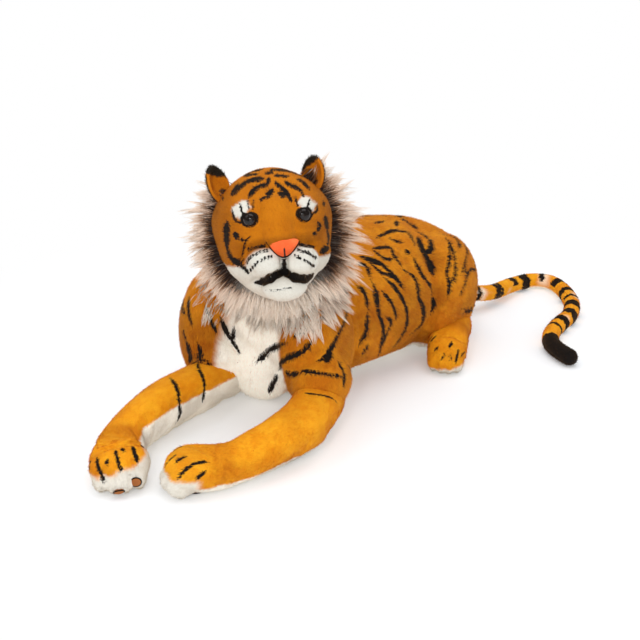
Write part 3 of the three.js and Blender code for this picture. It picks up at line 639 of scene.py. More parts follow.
# %% Stripes on the body: half width, then points in millimetres
BODY_STRIPES = [
    (2.2, [(-65, 67, 298), (-60, 105, 295)]),
    (2.5, [(-38, 26, 288), (-31, 75, 286), (-13, 115, 277), (11, 96, 255)]),
    (1.8, [(-21, 54, 282), (-2, 72, 267)]),
    (2.5, [(-38, 117, 286), (-52, 151, 285)]),
    (3.0, [(-52, 168, 282), (-43, 187, 277), (-13, 183, 268)]),
    (2.1, [(-28, -12, 276), (-20, 9, 272), (-9, 32, 266), (1, 24, 254), (25, 29, 228)]),
    (1.9, [(-26, -13, 273), (-8, -5, 256), (3, 15, 250)]),
    (2.6, [(-33, -48, 269), (-15, -29, 257), (-2, -17, 246), (18, -3, 221), (29, 8, 193)]),
    (1.8, [(-27, -47, 264), (0, -33, 239), (10, -19, 232), (19, -4, 217)]),
    (1.9, [(-37, -75, 264), (-21, -56, 253), (-7, -63, 236)]),
    (2.3, [(-17, -99, 228), (-9, -89, 212), (-1, -89, 181)]),
    (2.4, [(-7, -63, 236), (6, -61, 198), (12, -65, 167), (14, -49, 129), (6, -39, 85), (-17, -11, 46)]),
    (1.9, [(8, -47, 208), (19, -33, 183), (28, -23, 159), (27, -17, 138)]),
    (2.5, [(6, -33, 232), (22, -10, 198), (38, 7, 158), (33, 17, 116), (23, 14, 84), (6, 13, 61)]),
    (2.3, [(21, 22, 231), (37, 47, 208), (47, 45, 169), (51, 59, 134), (45, 67, 103), (28, 33, 78)]),
    (1.6, [(47, 45, 169), (53, 61, 142), (48, 70, 115)]),
    (3.0, [(8, 67, 256), (16, 64, 247)]),
    (2.6, [(21, 70, 242), (42, 69, 209), (56, 92, 170), (65, 96, 135), (64, 96, 112)]),
    (4.6, [(3, 144, 266), (19, 123, 248), (43, 113, 221), (54, 112, 193)]),
    (3.6, [(-18, 170, 262), (16, 166, 254), (30, 140, 237), (31, 124, 235)]),
    (2.0, [(47, 195, 239), (65, 161, 218), (72, 137, 196), (81, 132, 172), (81, 125, 142)]),
    (1.9, [(30, 215, 248), (59, 187, 232), (75, 166, 203), (83, 149, 183), (81, 132, 172)]),
    (1.8, [(14, 232, 246), (48, 241, 231), (69, 201, 225)]),
    (1.6, [(36, 268, 226), (65, 250, 214), (81, 207, 202), (88, 170, 181)]),
    (1.8, [(70, 276, 190), (87, 251, 170), (92, 208, 181), (92, 156, 143)]),
    (1.5, [(87, 198, 194), (93, 180, 163), (92, 156, 143)]),
    (1.8, [(76, 296, 120), (86, 262, 89), (94, 165, 107)]),
    (1.6, [(84, 270, 60), (92, 230, 84), (94, 185, 90)]),
    (1.8, [(20, -50, 156), (22, -31, 139), (14, -36, 113), (7, -34, 84)]),
    (1.6, [(0, -90, 178), (1, -92, 142), (-11, -96, 100)]),
    (1.5, [(-3, -79, 107), (-12, -83, 80)]),
    (2.1, [(-34, -123, 240), (-24, -131, 209), (-3, -172, 189), (-2, -208, 167), (-3, -226, 149)]),
    (1.9, [(1, -94, 167), (1, -92, 139), (-5, -91, 116)]),
    (2.1, [(-1, -69, 211), (9, -65, 180), (15, -65, 157)]),
    (2.4, [(-21, -231, 207), (-39, -257, 193), (-57, -268, 177)]),
    (2.2, [(-36, -52, 269), (-21, -38, 259), (-6, -21, 248)]),
]
REAR_STRIPES = [
    (2.2, [(20, 330, 216), (44, 322, 176), (50, 330, 120), (60, 318, 70)]),
    (1.9, [(-6, 340, 206), (20, 348, 160), (26, 350, 110)]),
    (2.4, [(-20, 300, 240), (10, 306, 232), (38, 300, 206), (66, 290, 150)]),
    (2.0, [(-40, 352, 190), (-24, 362, 150), (-22, 364, 118)]),
    (2.0, [(40, 344, 60), (22, 356, 84), (14, 352, 110)]),
]
FRONT_STRIPES = [
    (3.2, [(-280, -294, 133), (-276, -293, 111), (-287, -274, 82)]),
    (2.4, [(-257, -293, 133), (-253, -269, 92), (-237, -276, 84)]),
    (3.2, [(-211, -246, 129), (-210, -240, 110), (-206, -230, 88)]),
    (3.2, [(-69, -270, 164), (-122, -247, 130), (-155, -240, 93)]),
    (3.2, [(-26, -255, 172), (-37, -268, 153), (-72, -273, 132), (-110, -240, 86)]),
    (2.4, [(-112, -236, 76), (-124, -238, 56), (-134, -236, 36)]),
    (4.0, [(-3, -215, 162), (-5, -235, 134), (-16, -249, 117)]),
    (2.6, [(-81, -267, 98), (-38, -269, 107)]),
    (1.8, [(-284, -265, 213), (-279, -282, 192), (-266, -290, 166)]),
    (2.0, [(-250, -272, 202), (-238, -274, 177), (-228, -269, 150)]),
    (1.4, [(-288, -289, 153), (-281, -293, 135)]),
    (2.4, [(-223, -262, 181), (-216, -254, 150), (-209, -244, 128)]),
    (2.0, [(-206, -240, 160), (-210, -243, 130)]),
    (2.4, [(-330, -240, 220), (-336, -232, 180), (-334, -236, 140), (-326, -250, 100)]),
    (2.2, [(-318, -270, 200), (-322, -272, 160), (-316, -274, 120)]),
    (2.0, [(-322, -176, 200), (-334, -170, 150), (-330, -176, 100), (-318, -190, 60)]),
    (2.2, [(38, -190, 190), (46, -186, 150), (44, -180, 110), (34, -176, 70)]),
    (2.0, [(24, -150, 220), (40, -148, 180), (42, -146, 140)]),
    (1.0, [(-34, -266, 104), (-14, -268, 110), (6, -260, 110), (26, -238, 102)]),
    (1.8, [(20, -226, 140), (24, -232, 110), (18, -240, 84)]),
]
body_stripes = BODY_STRIPES + mirrored(BODY_STRIPES) + REAR_STRIPES + mirrored(REAR_STRIPES)

# %% Stripes on the legs
LEG_STRIPES = [
    (2.2, [(-35, -288, 84), (-18, -286, 94), (-3, -280, 96), (11, -262, 90)]),
    (2.0, [(-9, -311, 94), (8, -305, 92), (23, -295, 86), (35, -275, 62)]),
    (3.0, [(-263, -293, 109), (-241, -315, 97), (-220, -335, 86), (-206, -349, 67), (-202, -357, 42)]),
    (3.2, [(-262, -380, 88), (-238, -396, 90), (-216, -415, 71), (-204, -422, 44), (-198, -428, 24)]),
    (2.5, [(-199, -618, 76), (-183, -633, 66), (-170, -640, 50)]),
    (3.0, [(-222, -640, 66), (-208, -652, 50), (-195, -660, 32)]),
    (3.0, [(-186, -590, 74), (-171, -601, 68), (-158, -612, 54)]),
    (2.8, [(-190, -610, 76), (-184, -616, 73)]),
    (2.0, [(-187, -566, 62), (-189, -552, 48)]),
    (1.8, [(-236, -640, 52), (-232, -652, 40)]),
    (1.9, [(-200, -636, 66), (-197, -645, 59)]),
    (2.0, [(-119, -592, 53), (-101, -577, 72)]),
    (1.8, [(-118, -562, 64), (-106, -552, 70)]),
    (2.0, [(-94, -592, 65), (-81, -575, 72)]),
    (2.6, [(-78, -610, 46), (-69, -594, 62), (-59, -577, 68), (-44, -562, 67)]),
    (2.6, [(-51, -592, 46), (-44, -576, 56)]),
    (1.7, [(72, 100, 69), (66, 72, 47)]),
    (1.8, [(64, 100, 62), (55, 97, 47)]),
    (2.4, [(84, 54, 55), (92, 62, 63)]),
    (3.2, [(116, 66, 66), (114, 82, 68)]),
    (1.3, [(110, 50, 56), (107, 44, 40)]),
    (2.0, [(133, 80, 60), (136, 67, 46), (135, 57, 33)]),
    (1.7, [(140, 96, 46), (139, 75, 43)]),
    (1.4, [(124, 58, 54), (130, 52, 42)]),
    (2.0, [(-262, 180, 66), (-244, 176, 72), (-226, 182, 66)]),
    (1.8, [(-268, 160, 50), (-250, 154, 62), (-236, 158, 64)]),
    (1.8, [(-240, 140, 50), (-228, 144, 60), (-222, 150, 62)]),
]

body_stripes = [(half * 1.5 + 1.2, path) for half, path in body_stripes + FRONT_STRIPES]
body_stripes += [(half * 1.4 + 1, path) for half, path in LEG_STRIPES[2:4]]
print(len(body_stripes), "stripes on the body")

# %% Stripes on the head, in its own frame
BROW_STRIPES = [
    (2.8, [(-66, -24, 78), (-62, -16, 86), (-50, -4, 97)]),
    (3.7, [(-60, -21, 79), (-53, -18, 89), (-43, -15, 96), (-31, -15, 101), (-18, -21, 102), (-7, -32, 102)]),
    (2.9, [(-40, -60, 74), (-34, -56, 81), (-25, -53, 88), (-15, -53, 91), (-3, -55, 92)]),
    (2.0, [(-41, -8, 108), (-28, -10, 110), (-14, -8, 110)]),
    (2.0, [(-43, 0, 109), (-24, 2, 115), (-4, -2, 117)]),
    (2.6, [(-4, -18, 109), (4, -13, 110), (12, -13, 109)]),
    (2.0, [(6, -4, 114), (18, -4, 114)]),
    (2.2, [(0, -40, 103), (-1, -44, 100), (-4, -52, 95), (-3, -55, 92)]),
    (3.4, [(-11, -71, 74), (-3, -66, 79), (2, -62, 84)]),
    (2.0, [(-22, -74, 66), (-18, -69, 71), (-12, -70, 72), (-2, -72, 73)]),
    (3.8, [(10, -67, 77), (16, -68, 73), (22, -70, 69)]),
    (2.6, [(8, -51, 95), (13, -55, 89), (20, -59, 82), (26, -65, 73), (28, -72, 65), (30, -76, 60)]),
    (2.4, [(10, -28, 105), (19, -26, 104), (27, -26, 102), (39, -18, 100)]),
    (2.6, [(26, -42, 95), (31, -51, 88), (38, -53, 84), (45, -52, 81), (51, -53, 74), (54, -56, 65)]),
    (3.0, [(50, -16, 94), (59, -12, 89), (66, -14, 81), (70, -20, 73)]),
    (2.8, [(16, 0, 112), (34, 2, 110), (52, -2, 104), (67, -8, 95), (80, -11, 88)]),
    (2.0, [(14, 22, 114), (34, 22, 110), (56, 18, 102), (74, 14, 90)]),
    (2.2, [(93, -10, 50), (94, -12, 40)]),
    (1.8, [(-82, -5, 71), (-80, -8, 78)]),
    (4.4, [(-80, -48, 37), (-83, -46, 25), (-85, -49, 11), (-86, -51, 0)]),
    (3.0, [(-85, -49, 11), (-86, -51, -3), (-84, -49, -18), (-79, -52, -28), (-73, -57, -32)]),
    (4.4, [(-80, -52, -24), (-74, -56, -31), (-67, -62, -35)]),
    (2.2, [(-70, -62, -34), (-62, -80, -42), (-56, -86, -51)]),
    (3.4, [(-71, -62, 20), (-69, -65, 14), (-67, -68, 8)]),
    (1.7, [(-63, -74, 9), (-58, -76, 4)]),
    (1.0, [(-47, -87, 12), (-55, -82, 4), (-59, -77, -7), (-62, -71, -21), (-62, -68, -31)]),
    (4.2, [(92, -20, 25), (93, -22, 12), (92, -28, 0)]),
    (2.4, [(92, -26, 2), (94, -20, -14), (91, -16, -29)]),
    (4.8, [(92, -14, -30), (84, -40, -31), (72, -57, -35)]),
    (2.2, [(73, -60, 20), (75, -60, 11), (69, -67, 4)]),
    (1.8, [(66, -71, 4), (59, -77, -1)]),
]
CROWN_STRIPES = [
    (3.2, [(-60, 40, 96), (-30, 34, 112), (0, 30, 116), (30, 36, 112), (58, 44, 96)]),
    (3.2, [(-70, 62, 70), (-36, 70, 84), (-6, 74, 88)]),
    (3.2, [(4, 78, 84), (38, 70, 82), (70, 60, 70)]),
    (3.4, [(-76, 66, 40), (-44, 88, 50), (-12, 98, 44)]),
    (3.4, [(12, 98, 40), (46, 88, 46), (78, 66, 38)]),
]
LASHES = [
    (2.2, [(-70, -51, 57), (-69, -57, 47), (-66, -62, 38), (-59, -70, 35), (-54, -80, 38)]),
    (2.1, [(-56, -54, 68), (-55, -60, 58), (-54, -65, 51), (-50, -80, 47)]),
    (1.6, [(-41, -61, 72), (-43, -65, 63), (-42, -71, 54)]),
    (1.5, [(-32, -66, 71), (-35, -71, 62), (-37, -75, 53)]),
    (2.2, [(75, -51, 47), (74, -56, 39), (65, -65, 34), (56, -76, 31)]),
    (2.0, [(64, -54, 60), (59, -63, 50), (53, -80, 43)]),
    (1.9, [(36, -68, 67), (39, -71, 59), (40, -75, 50)]),
]
EYE_PATCHES = [
    (10.5, [(-66, -58, 46), (-59, -58, 56), (-50, -61, 60), (-41, -68, 59)]),
    (10, [(-60, -66, 44), (-53, -76, 50)]),
    (10.5, [(43, -68, 56), (54, -62, 55), (62, -61, 49), (66, -62, 42)]),
    (9, [(50, -76, 48), (58, -68, 46)]),
]
MOUTH = [
    (4.6, [(4, -93, -22), (4, -92, -39), (3, -89, -58)]),
    (7.8, [(-48, -86, -67), (-41, -93, -67), (-31, -102, -64), (-20, -100, -60), (-7, -87, -57),
           (2, -87, -55), (11, -95, -61), (22, -99, -67), (38, -76, -73), (49, -66, -72), (55, -62, -68)]),
    (1.2, [(-32, -92, -80), (-16, -104, -82), (2, -109, -80), (13, -105, -82)]),
]
WHISKER_ROWS = [
    [(-52, -83, -11), (-42, -88, -9), (-33, -91, -7), (-25, -93, -7)],
    [(-57, -84, -31), (-52, -86, -24), (-44, -96, -19), (-33, -95, -16), (-22, -93, -15)],
    [(-54, -101, -43), (-47, -101, -36), (-38, -103, -30), (-27, -103, -26), (-17, -99, -25)],
    [(34, -90, -13), (44, -87, -16), (58, -76, -20)],
    [(29, -102, -20), (39, -100, -24), (48, -98, -29), (58, -89, -38)],
    [(24, -104, -30), (30, -107, -33), (39, -106, -39), (47, -103, -45), (52, -99, -50)],
]
print(len(BROW_STRIPES), "stripes and", len(WHISKER_ROWS), "rows of whisker marks on the head")

# %% Folds of the face: between the whisker cushions, round them and along the mouth
FACE_FOLDS = [
    (8, 5.5, [(4, -93, -26), (4, -92, -39), (3, -89, -54)]),
    (6, 6, [(-48, -86, -67), (-41, -93, -67), (-31, -102, -64), (-20, -100, -60), (-7, -87, -57),
            (2, -87, -55), (11, -95, -61), (22, -99, -67), (38, -76, -73), (49, -66, -72)]),
    (5, 5, [(-50, -83, -6), (-58, -80, -14), (-60, -78, -26), (-58, -90, -40), (-51, -100, -51)]),
    (5, 5, [(54, -80, -14), (62, -70, -20), (65, -66, -31), (61, -81, -47), (53, -91, -58)]),
    (4, 4, [(-47, -87, 12), (-55, -82, 4), (-60, -77, -7), (-63, -71, -21), (-62, -68, -31)]),
    (3, 5, [(-24, -93, -5), (-38, -88, -4), (-53, -83, -7)]),
    (3, 5, [(33, -90, -11), (46, -84, -12), (58, -75, -16)]),
]


def face_place(points, normals):
    local = to_head(points)
    return as_seen(local), np.clip(3 * facing_us(local, normals), 0, 1)


crease(head, [(deep, half, as_seen(path)) for deep, half, path in FACE_FOLDS], face_place)

# %% [markdown]
# ## Where the coat is white
#
# White plush is a panel of its own on the toy: under the belly, up the chest, along the inner and
# under side of the legs and over the toes. On the head the cheeks, whisker cushions, chin and a patch
# over each eye are white. Soft steps between two heights or distances give the panels' edges, a little
# frayed, as pile is along a seam.

# %% Soft steps and frayed edges
def step_up(value, low, high):
    share = np.clip((value - low) / (high - low), 0, 1)
    return share * share * (3 - 2 * share)


def step_down(value, low, high):
    return 1 - step_up(value, low, high)


def fray(points, size=7.0):
    x, y, z = (points / size).T
    wave = np.sin(x * 1.7 + np.sin(y * 2.3)) + np.sin(y * 1.3 + np.sin(z * 2.9)) + np.sin(z * 1.9 + x)
    return wave / 3


def inside(points, centre, halves, edge=0.12):
    away = np.sqrt((((points - centre) / halves) ** 2).sum(1))
    return step_down(away, 1 - edge, 1 + edge)


# %% Paint for the torso: black, white and painted shade, each from 0 to 1
# Painted shade down the groove of the chest seam
SHADED_CHEST_SEAM = [(1.2, [(-148, -262, 230), (-154, -264, 150), (-160, -262, 90), (-166, -252, 36)])]
WHITE_CHEST, WHITE_CHEST_HALF = (-158, -262, 90), (68, 76, 185)
BELLY_SEAM = (24, 30)
# Painted shade in hollows of the body: by the flank folds, an elbow and the shoulders
SHADED_HOLLOWS = [((40, 118, 225), 44), ((60, 104, 150), 44), ((-30, -262, 98), 26), ((-270, -280, 130), 90),
           ((40, -190, 150), 60)]


def paint_torso(points, normals):
    black = stripe_mask(points, normals, body_stripes)
    rough = fray(points) * 3
    white = step_down(points[:, 2] + rough, *BELLY_SEAM)
    chest = inside(points, WHITE_CHEST, WHITE_CHEST_HALF)
    white = np.maximum(white, chest * step_up(-normals[:, 1], -0.15, 0.15))
    # painted shade: darker on the steep flanks, broken by a random mottle, in the hollows and down the chest
    # seam
    shade = 0.55 * step_down(normals[:, 2], 0.1, 0.8) * step_up(fray(points, 40), -0.7, 0.5)
    for spot, size in SHADED_HOLLOWS:
        near = step_down(span(points - spot), size * 0.3, size)
        shade = np.maximum(shade, 0.7 * near)
    return black, white, np.maximum(shade, 0.9 * stripe_mask(points, normals, SHADED_CHEST_SEAM))


# %% Paint for the legs: the inner sides and the toes are white, with painted shade
SEAM_OUTSIDE, SEAM_INSIDE, SEAM_RISE, HIND_SEAM = 20, (42, 48), 16, 12
KNUCKLES = {"foreleg_left": (46, 8), "foreleg_right": (46, 14), "hind_foot_left": (16, 6),
            "hind_foot_right": (16, 6)}
WRIST_BEHIND = 104


def paint_leg(name):
    stations, heading = legs[name][1:]
    end = stations[-1]
    paw_round = LEGS[name][3]
    line = spline(stations[:, :3], 40)
    inner = 1 if name in ("foreleg_right", "hind_foot_left") else -1

    def paint(points, normals):
        black = stripe_mask(points, normals, leg_stripes, depth=26)
        rough = fray(points) * 2.5
        best = gaps(points[:, :2], line[:, :2]).argmin(1)
        tangent = unit(np.gradient(line, axis=0))[best]
        off = points - line[best]
        across = off[:, 0] * -tangent[:, 1] + off[:, 1] * tangent[:, 0]
        halfway = 1 - (2 * best / len(line) - 0.9) ** 2
        inner_seam = SEAM_INSIDE[0]
        if name == "foreleg_right":
            inner_seam = SEAM_INSIDE[1] + SEAM_RISE * halfway
        seam = np.where(across * inner > 0, inner_seam, SEAM_OUTSIDE) if "foreleg" in name else HIND_SEAM
        white = step_down(points[:, 2] + rough * 0.4, seam - 1.5, seam + 1.5)
        along = (points - end[:3]) @ heading
        base, tilt = KNUCKLES[name]
        knuckle = base + tilt * np.clip(across * inner / end[3], -1, 1) + rough * 1.4
        toes = step_down(points[:, 2], knuckle - 4, knuckle + 6) * step_up(along, -22, -4)
        white = np.maximum(white, toes)
        # painted shade: a random mottle, darker on the steep sides, round the top of the wrist fold, and over
        # the paws' white fronts
        shade = 0.42 * step_up(fray(points, 30), -0.3, 0.8) + 0.3 * step_down(normals[:, 2], 0, 0.7)
        wrist_shade = step_down(np.abs(along - paw_round + WRIST_BEHIND), 6, 34)
        shade = shade + 0.6 * wrist_shade * step_up(points[:, 2], 20, 60)
        return black, white, np.maximum(shade, 0.75 * step_up(along, -40, 0) * white)

    return paint


leg_stripes = [(half + 0.7, path) for half, path in LEG_STRIPES]
leg_stripes += [(half * 1.4 + 1, path) for half, path in FRONT_STRIPES]

# %% Paint for the tail: bands, a black tip and a pale underside
TAIL_BANDS = [(0.045, 5, 1), (0.10, 4, 1), (0.173, 5.5, 1), (0.192, 2.6, 1), (0.277, 6.6, 0),
              (0.333, 9.5, 1), (0.405, 4, 0), (0.47, 7.6, 0), (0.536, 5.7, 1), (0.585, 3, 0),
              (0.637, 8.5, 1), (0.70, 8.5, 1), (0.757, 7.6, 1), (0.806, 2.8, 1)]
TAIL_TIP = 0.872


def paint_tail(points, normals):
    best = gaps(points, tail_line).argmin(1)
    share = tail_run[best] + fray(points, 3.0) * 0.004
    black = step_up(share, TAIL_TIP - 0.004, TAIL_TIP + 0.004)
    for place, half, all_round in TAIL_BANDS:
        away = np.abs(share - place) * run[-1] + fray(points + 31 * place, 5) * 2.2
        near = step_down(away, half * 1.45 + 1.2, half * 1.45 + 3.2)
        black = np.maximum(black, near * (1 if all_round else step_up(normals[:, 2], 0.1, 0.4)))
    pale = step_up(fray(points, 26) + 0.5 * normals[:, 0], 0.15, 0.75) * 0.75
    under = step_down(points[:, 2], 4, 12)
    return black, np.maximum(pale, under), np.zeros(len(points))


# %% Paint for the head
HEAD_REACH = 105
EYE_SPOTS = np.array([(-44.5, -85, 39.5), (47.5, -84, 37)])
LOBES = [((-28, -96, -35), (32, 50, 25)), ((34, -96, -39), (31, 50, 26))]
# Painted shade below and beside the whisker cushions and at the foot of the bridge
SHADE_BELOW_LOBES = [((-28, -96, -62), (34, 40, 16)), ((34, -96, -66), (34, 40, 16))]
SHADE_BESIDE_LOBES = [((-66, -70, -30), (9, 40, 34)), ((70, -70, -36), (9, 40, 34))]
SHADE_AT_BRIDGE_END = ((3, -100, -4), (60, 60, 12))


def on_ball(points):
    return unit(np.asarray(points, float)) * HEAD_REACH


def ball_stripes(stripes):
    return [(half, on_ball(path)) for half, path in stripes]


crown_stripes = ball_stripes(CROWN_STRIPES)
brow_stripes = drawn_rows([(half * 1.25 + 0.8, path) for half, path in BROW_STRIPES])
lashes, eye_patches, mouth_lines = (drawn_rows(rows) for rows in (LASHES, EYE_PATCHES, MOUTH))
whisker_spots = [spot for path in WHISKER_ROWS for spot in spline(as_seen(path), 8)]
DASH = np.array([[0, 0, 3.2], [0, 0, 0], [0, 0, -3.2]])
whisker_dashes = [(1.5, spot + DASH) for spot in whisker_spots]


def paint_head(points, normals):
    local = to_head(points)
    outward = on_ball(local)
    flat = unit(outward)
    seen, facing = as_seen(local), facing_us(local, normals)
    level = np.tile([0.0, 1, 0], (len(points), 1))
    visible = step_up(facing, 0.02, 0.12)
    thin = np.clip(facing / 0.7, 0.6, 1)
    black = stripe_mask(seen, level, brow_stripes, thin=thin) * visible
    black = np.maximum(black, stripe_mask(outward, flat, crown_stripes))
    black = np.maximum(black, stripe_mask(seen, level, lashes, 0.7) * visible)
    lobes = np.maximum(*[inside(local, *form, 0.08) for form in LOBES])
    jaw = step_down(local[:, 2] + fray(points, 4) * 1.2, -40, -35)
    patches = stripe_mask(seen, level, eye_patches, soft=3) * visible
    white = np.maximum(np.maximum(lobes, jaw), patches) * step_up(-local[:, 1], -40, -10)
    mouth = stripe_mask(seen, level, mouth_lines, soft=1.6) * visible
    around_eye = np.minimum(*[span((local - spot) * (0.8, 1, 1)) for spot in EYE_SPOTS])
    dashes = stripe_mask(seen, level, whisker_dashes, soft=1.2) * visible
    black = np.maximum(np.maximum(black * (1 - lobes), dashes), mouth * (local[:, 1] < -30))
    black = np.maximum(black, step_down(around_eye, 12.4, 14.6))
    # painted shade under and beside the cushions, at the foot of the bridge and towards the sides of the
    # head, with a random mottle
    below = sum(inside(local, *form, 0.5) for form in SHADE_BELOW_LOBES)
    beside = sum(inside(local, *form, 0.6) for form in SHADE_BESIDE_LOBES)
    shade = 0.7 * inside(local, *SHADE_AT_BRIDGE_END, 0.5) + 0.5 * below + 0.4 * beside
    shade += 0.75 * step_up(np.abs(local[:, 0]), 48, 92) + 0.3 * step_up(fray(points, 24), 0, 0.8)
    return black, white, np.clip(shade, 0, 1)


# %% Paint for the ears: orange inside with painted shade, black behind and at the tip
def paint_ear(name):
    root, turn = ears[name][1:]

    def paint(points, normals):
        local = (points - root) @ turn
        facing = normals @ turn
        toward_crown = -1 if name == "left" else 1
        height = local[:, 2] + fray(points, 4) * 3 + toward_crown * local[:, 0] * 0.9
        behind = step_up(facing[:, 1], -0.1, 0.2)
        tip = step_up(height, 42, 52)
        black = np.maximum(behind * step_up(local[:, 2], 2, 10), tip)
        # painted shade inside the cup
        shade = (1 - behind) * 0.6
        return black, np.zeros(len(points)), shade

    return paint


# %% [markdown]
# ## Writing the paint on meshes, and growing the pile
#
# Short plush is a carpet of fine hairs that lean one way. A bump map alone looks like rubber at the
# outline, so the pile here is real: tapered blades with their roots spread over the skin, laid in
# the direction that the nap is brushed. Each wears the paint of its root, and its shading follows the
# skin more than the blade, which gives plush its soft look.

# %% The coat attribute
def wear(piece, black, white, shade, tip):
    layer = piece.data.color_attributes.new("coat", "FLOAT_COLOR", "POINT")
    values = np.column_stack([black, white, shade, tip]).astype(np.float32)
    layer.data.foreach_set("color", values.ravel())


def paint_skin(piece, paint):
    black, white, shade = paint(points_of(piece), normals_of(piece))
    wear(piece, black, white, shade, np.zeros(len(black)))


# %% Roots spread evenly over a skin
def roots_on(piece, count, seed):
    random = np.random.RandomState(seed)
    mesh = piece.data
    mesh.calc_loop_triangles()
    corners = np.empty(len(mesh.loop_triangles) * 3, np.int64)
    mesh.loop_triangles.foreach_get("vertices", corners)
    corners = corners.reshape(-1, 3)
    points, normals = points_of(piece), normals_of(piece)
    a, b, c = (points[corners[:, step]] for step in range(3))
    area = span(np.cross(b - a, c - a))
    place = (np.arange(count) + random.rand(count)) / count * area.sum()
    chosen = np.minimum(np.searchsorted(np.cumsum(area), place), len(area) - 1)
    u, v = random.rand(2, count)
    over = u + v > 1
    u, v = np.where(over, 1 - u, u)[:, None], np.where(over, 1 - v, v)[:, None]
    picked = corners[chosen]
    spots = a[chosen] * (1 - u - v) + b[chosen] * u + c[chosen] * v
    lean = unit(normals[picked[:, 0]] * (1 - u - v) + normals[picked[:, 1]] * u + normals[picked[:, 2]] * v)
    return spots, lean, random


# %% Hairs as tapered ribbons along their own paths
BAKE_MAP = "OFBake"
HAIR_LIFT, BARE_BELOW, TAIL_BARE_BELOW = 0.4, 1.2, 1.0


def ribbons(name, paths, sides, widths, coats, normals, order):
    paths[:, :, 2] = np.maximum(paths[:, :, 2], HAIR_LIFT)
    paths, sides, widths, coats, normals = (rows[order] for rows in (paths, sides, widths, coats, normals))
    count, levels = paths.shape[:2]
    taper = np.linspace(1, 0.35, levels - 1) if levels > 2 else np.ones(1)
    low = paths[:, :-1] - sides[:, None] * (widths[:, None] * taper)[:, :, None] / 2
    high = paths[:, :-1] + sides[:, None] * (widths[:, None] * taper)[:, :, None] / 2
    body = np.stack([low, high], axis=2).reshape(count, -1, 3)
    verts = np.concatenate([body, paths[:, -1:]], axis=1)
    per = verts.shape[1]
    quads = [[2 * step, 2 * step + 1, 2 * step + 3, 2 * step + 2] for step in range(levels - 2)]
    corners = np.array([corner for quad in quads for corner in quad] + [per - 3, per - 2, per - 1])
    sizes = np.array([4] * len(quads) + [3])
    loops = (np.arange(count)[:, None] * per + corners).ravel()
    starts = np.concatenate([[0], np.cumsum(np.tile(sizes, count))[:-1]])
    mesh = bpy.data.meshes.new(name)
    mesh.vertices.add(count * per)
    mesh.loops.add(len(loops))
    mesh.polygons.add(len(starts))
    mesh.vertices.foreach_set("co", (verts * MM).ravel())
    mesh.loops.foreach_set("vertex_index", loops.astype(np.int32))
    mesh.polygons.foreach_set("loop_start", starts.astype(np.int32))
    mesh.update(calc_edges=True)
    piece = bpy.data.objects.new(name, mesh)
    bpy.context.collection.objects.link(piece)
    tips = np.concatenate([np.repeat(np.linspace(0, 1, levels)[:-1], 2), [1.0]])
    rows = np.repeat(coats, per, axis=0)
    wear(piece, rows[:, 0], rows[:, 1], rows[:, 2], np.tile(tips, count))
    mesh.shade_smooth()
    mesh.normals_split_custom_set_from_vertices(np.repeat(normals, per, axis=0).tolist())
    across = math.ceil(math.sqrt(count))
    cell = np.arange(count)
    corner = np.column_stack([cell % across, cell // across])
    inner = np.column_stack([np.tile([0.2, 0.8], levels - 1).tolist() + [0.5], 0.15 + 0.7 * tips])
    spread = (corner[:, None] + inner[None]) / across
    layer = mesh.uv_layers.new(name=BAKE_MAP)
    layer.data.foreach_set("uv", spread.reshape(-1, 2)[loops].astype(np.float32).ravel())
    return piece


# %% A pile of short hairs over a skin
ROOT_DEPTH = 0.6
SHADE_SPREAD, SWING_SPREAD, LEAN_SPREAD, SOFT_SPREAD = 0.16, 0.34, 7, 0.25


def pile(name, skin_piece, per_cm2, length, flow, paint, seed, lean=18, width=1.5, keep=None, pale=1):
    faces = skin_piece.data.polygons
    areas = np.empty(len(faces))
    faces.foreach_get("area", areas)
    count = int(areas.sum() * 1e4 * per_cm2 * (1))
    spots, normals, random = roots_on(skin_piece, count, seed)
    if keep is not None:
        kept = keep(spots, normals)
        spots, normals = spots[kept], normals[kept]
    count = len(spots)
    coats = np.column_stack(paint(spots, normals))
    coats[:, 2] += random.normal(0, SHADE_SPREAD, count)
    nap = flow(spots)
    nap = unit(nap - (nap * normals).sum(1, keepdims=True) * normals)
    across = np.cross(normals, nap)
    swing = random.normal(0, SWING_SPREAD, count)[:, None]
    nap = nap * np.cos(swing) + across * np.sin(swing)
    rise = np.radians(lean + random.normal(0, LEAN_SPREAD, count))[:, None]
    reach = length * (0.72 + 0.5 * random.rand(count))[:, None]
    reach *= (1 + (pale - 1) * coats[:, 1])[:, None]
    way = nap * np.cos(rise) + normals * np.sin(rise)
    root = spots - normals * ROOT_DEPTH
    tip = root + way * reach
    side = unit(np.cross(way, normals))
    soft = unit(normals + SOFT_SPREAD * random.normal(0, 1, (count, 3)))
    soft = np.where(((soft * normals).sum(1) < 0.3)[:, None], normals, soft)
    order = np.argsort(coats[:, 0] * 4 + coats[:, 1] * 2 + random.rand(count) * 0.2)
    wide = width * (0.75 + 0.5 * random.rand(count))
    piece = ribbons(name, np.stack([root, tip], axis=1), side, wide, coats, soft, order)
    print(name, count, "hairs")
    return piece


# %% [markdown]
# ## Finishes as written sums
#
# A shader's nodes read better as sums. One small class wraps a socket, so that masks and noises can
# be added and multiplied in plain Python, and each sum becomes a Math node.

# %% A socket that can be reckoned with
class Wire:
    def __init__(self, shade, socket):
        self.shade, self.socket = shade, socket

    def sum(self, kind, *others):
        return self.shade.node("ShaderNodeMath", {"operation": kind}, dict(enumerate((self, *others))))

    def __add__(self, other):
        return self.sum("ADD", other)

    def __mul__(self, other):
        return self.sum("MULTIPLY", other)

    def __sub__(self, other):
        return self.sum("SUBTRACT", other)

    def __rsub__(self, other):
        return self * -1 + other

    def between(self, low, high):
        sockets = {"Value": self, "From Min": low, "From Max": high}
        return self.shade.node("ShaderNodeMapRange", {"interpolation_type": "SMOOTHSTEP"}, sockets)

    __radd__ = __add__
    __rmul__ = __mul__


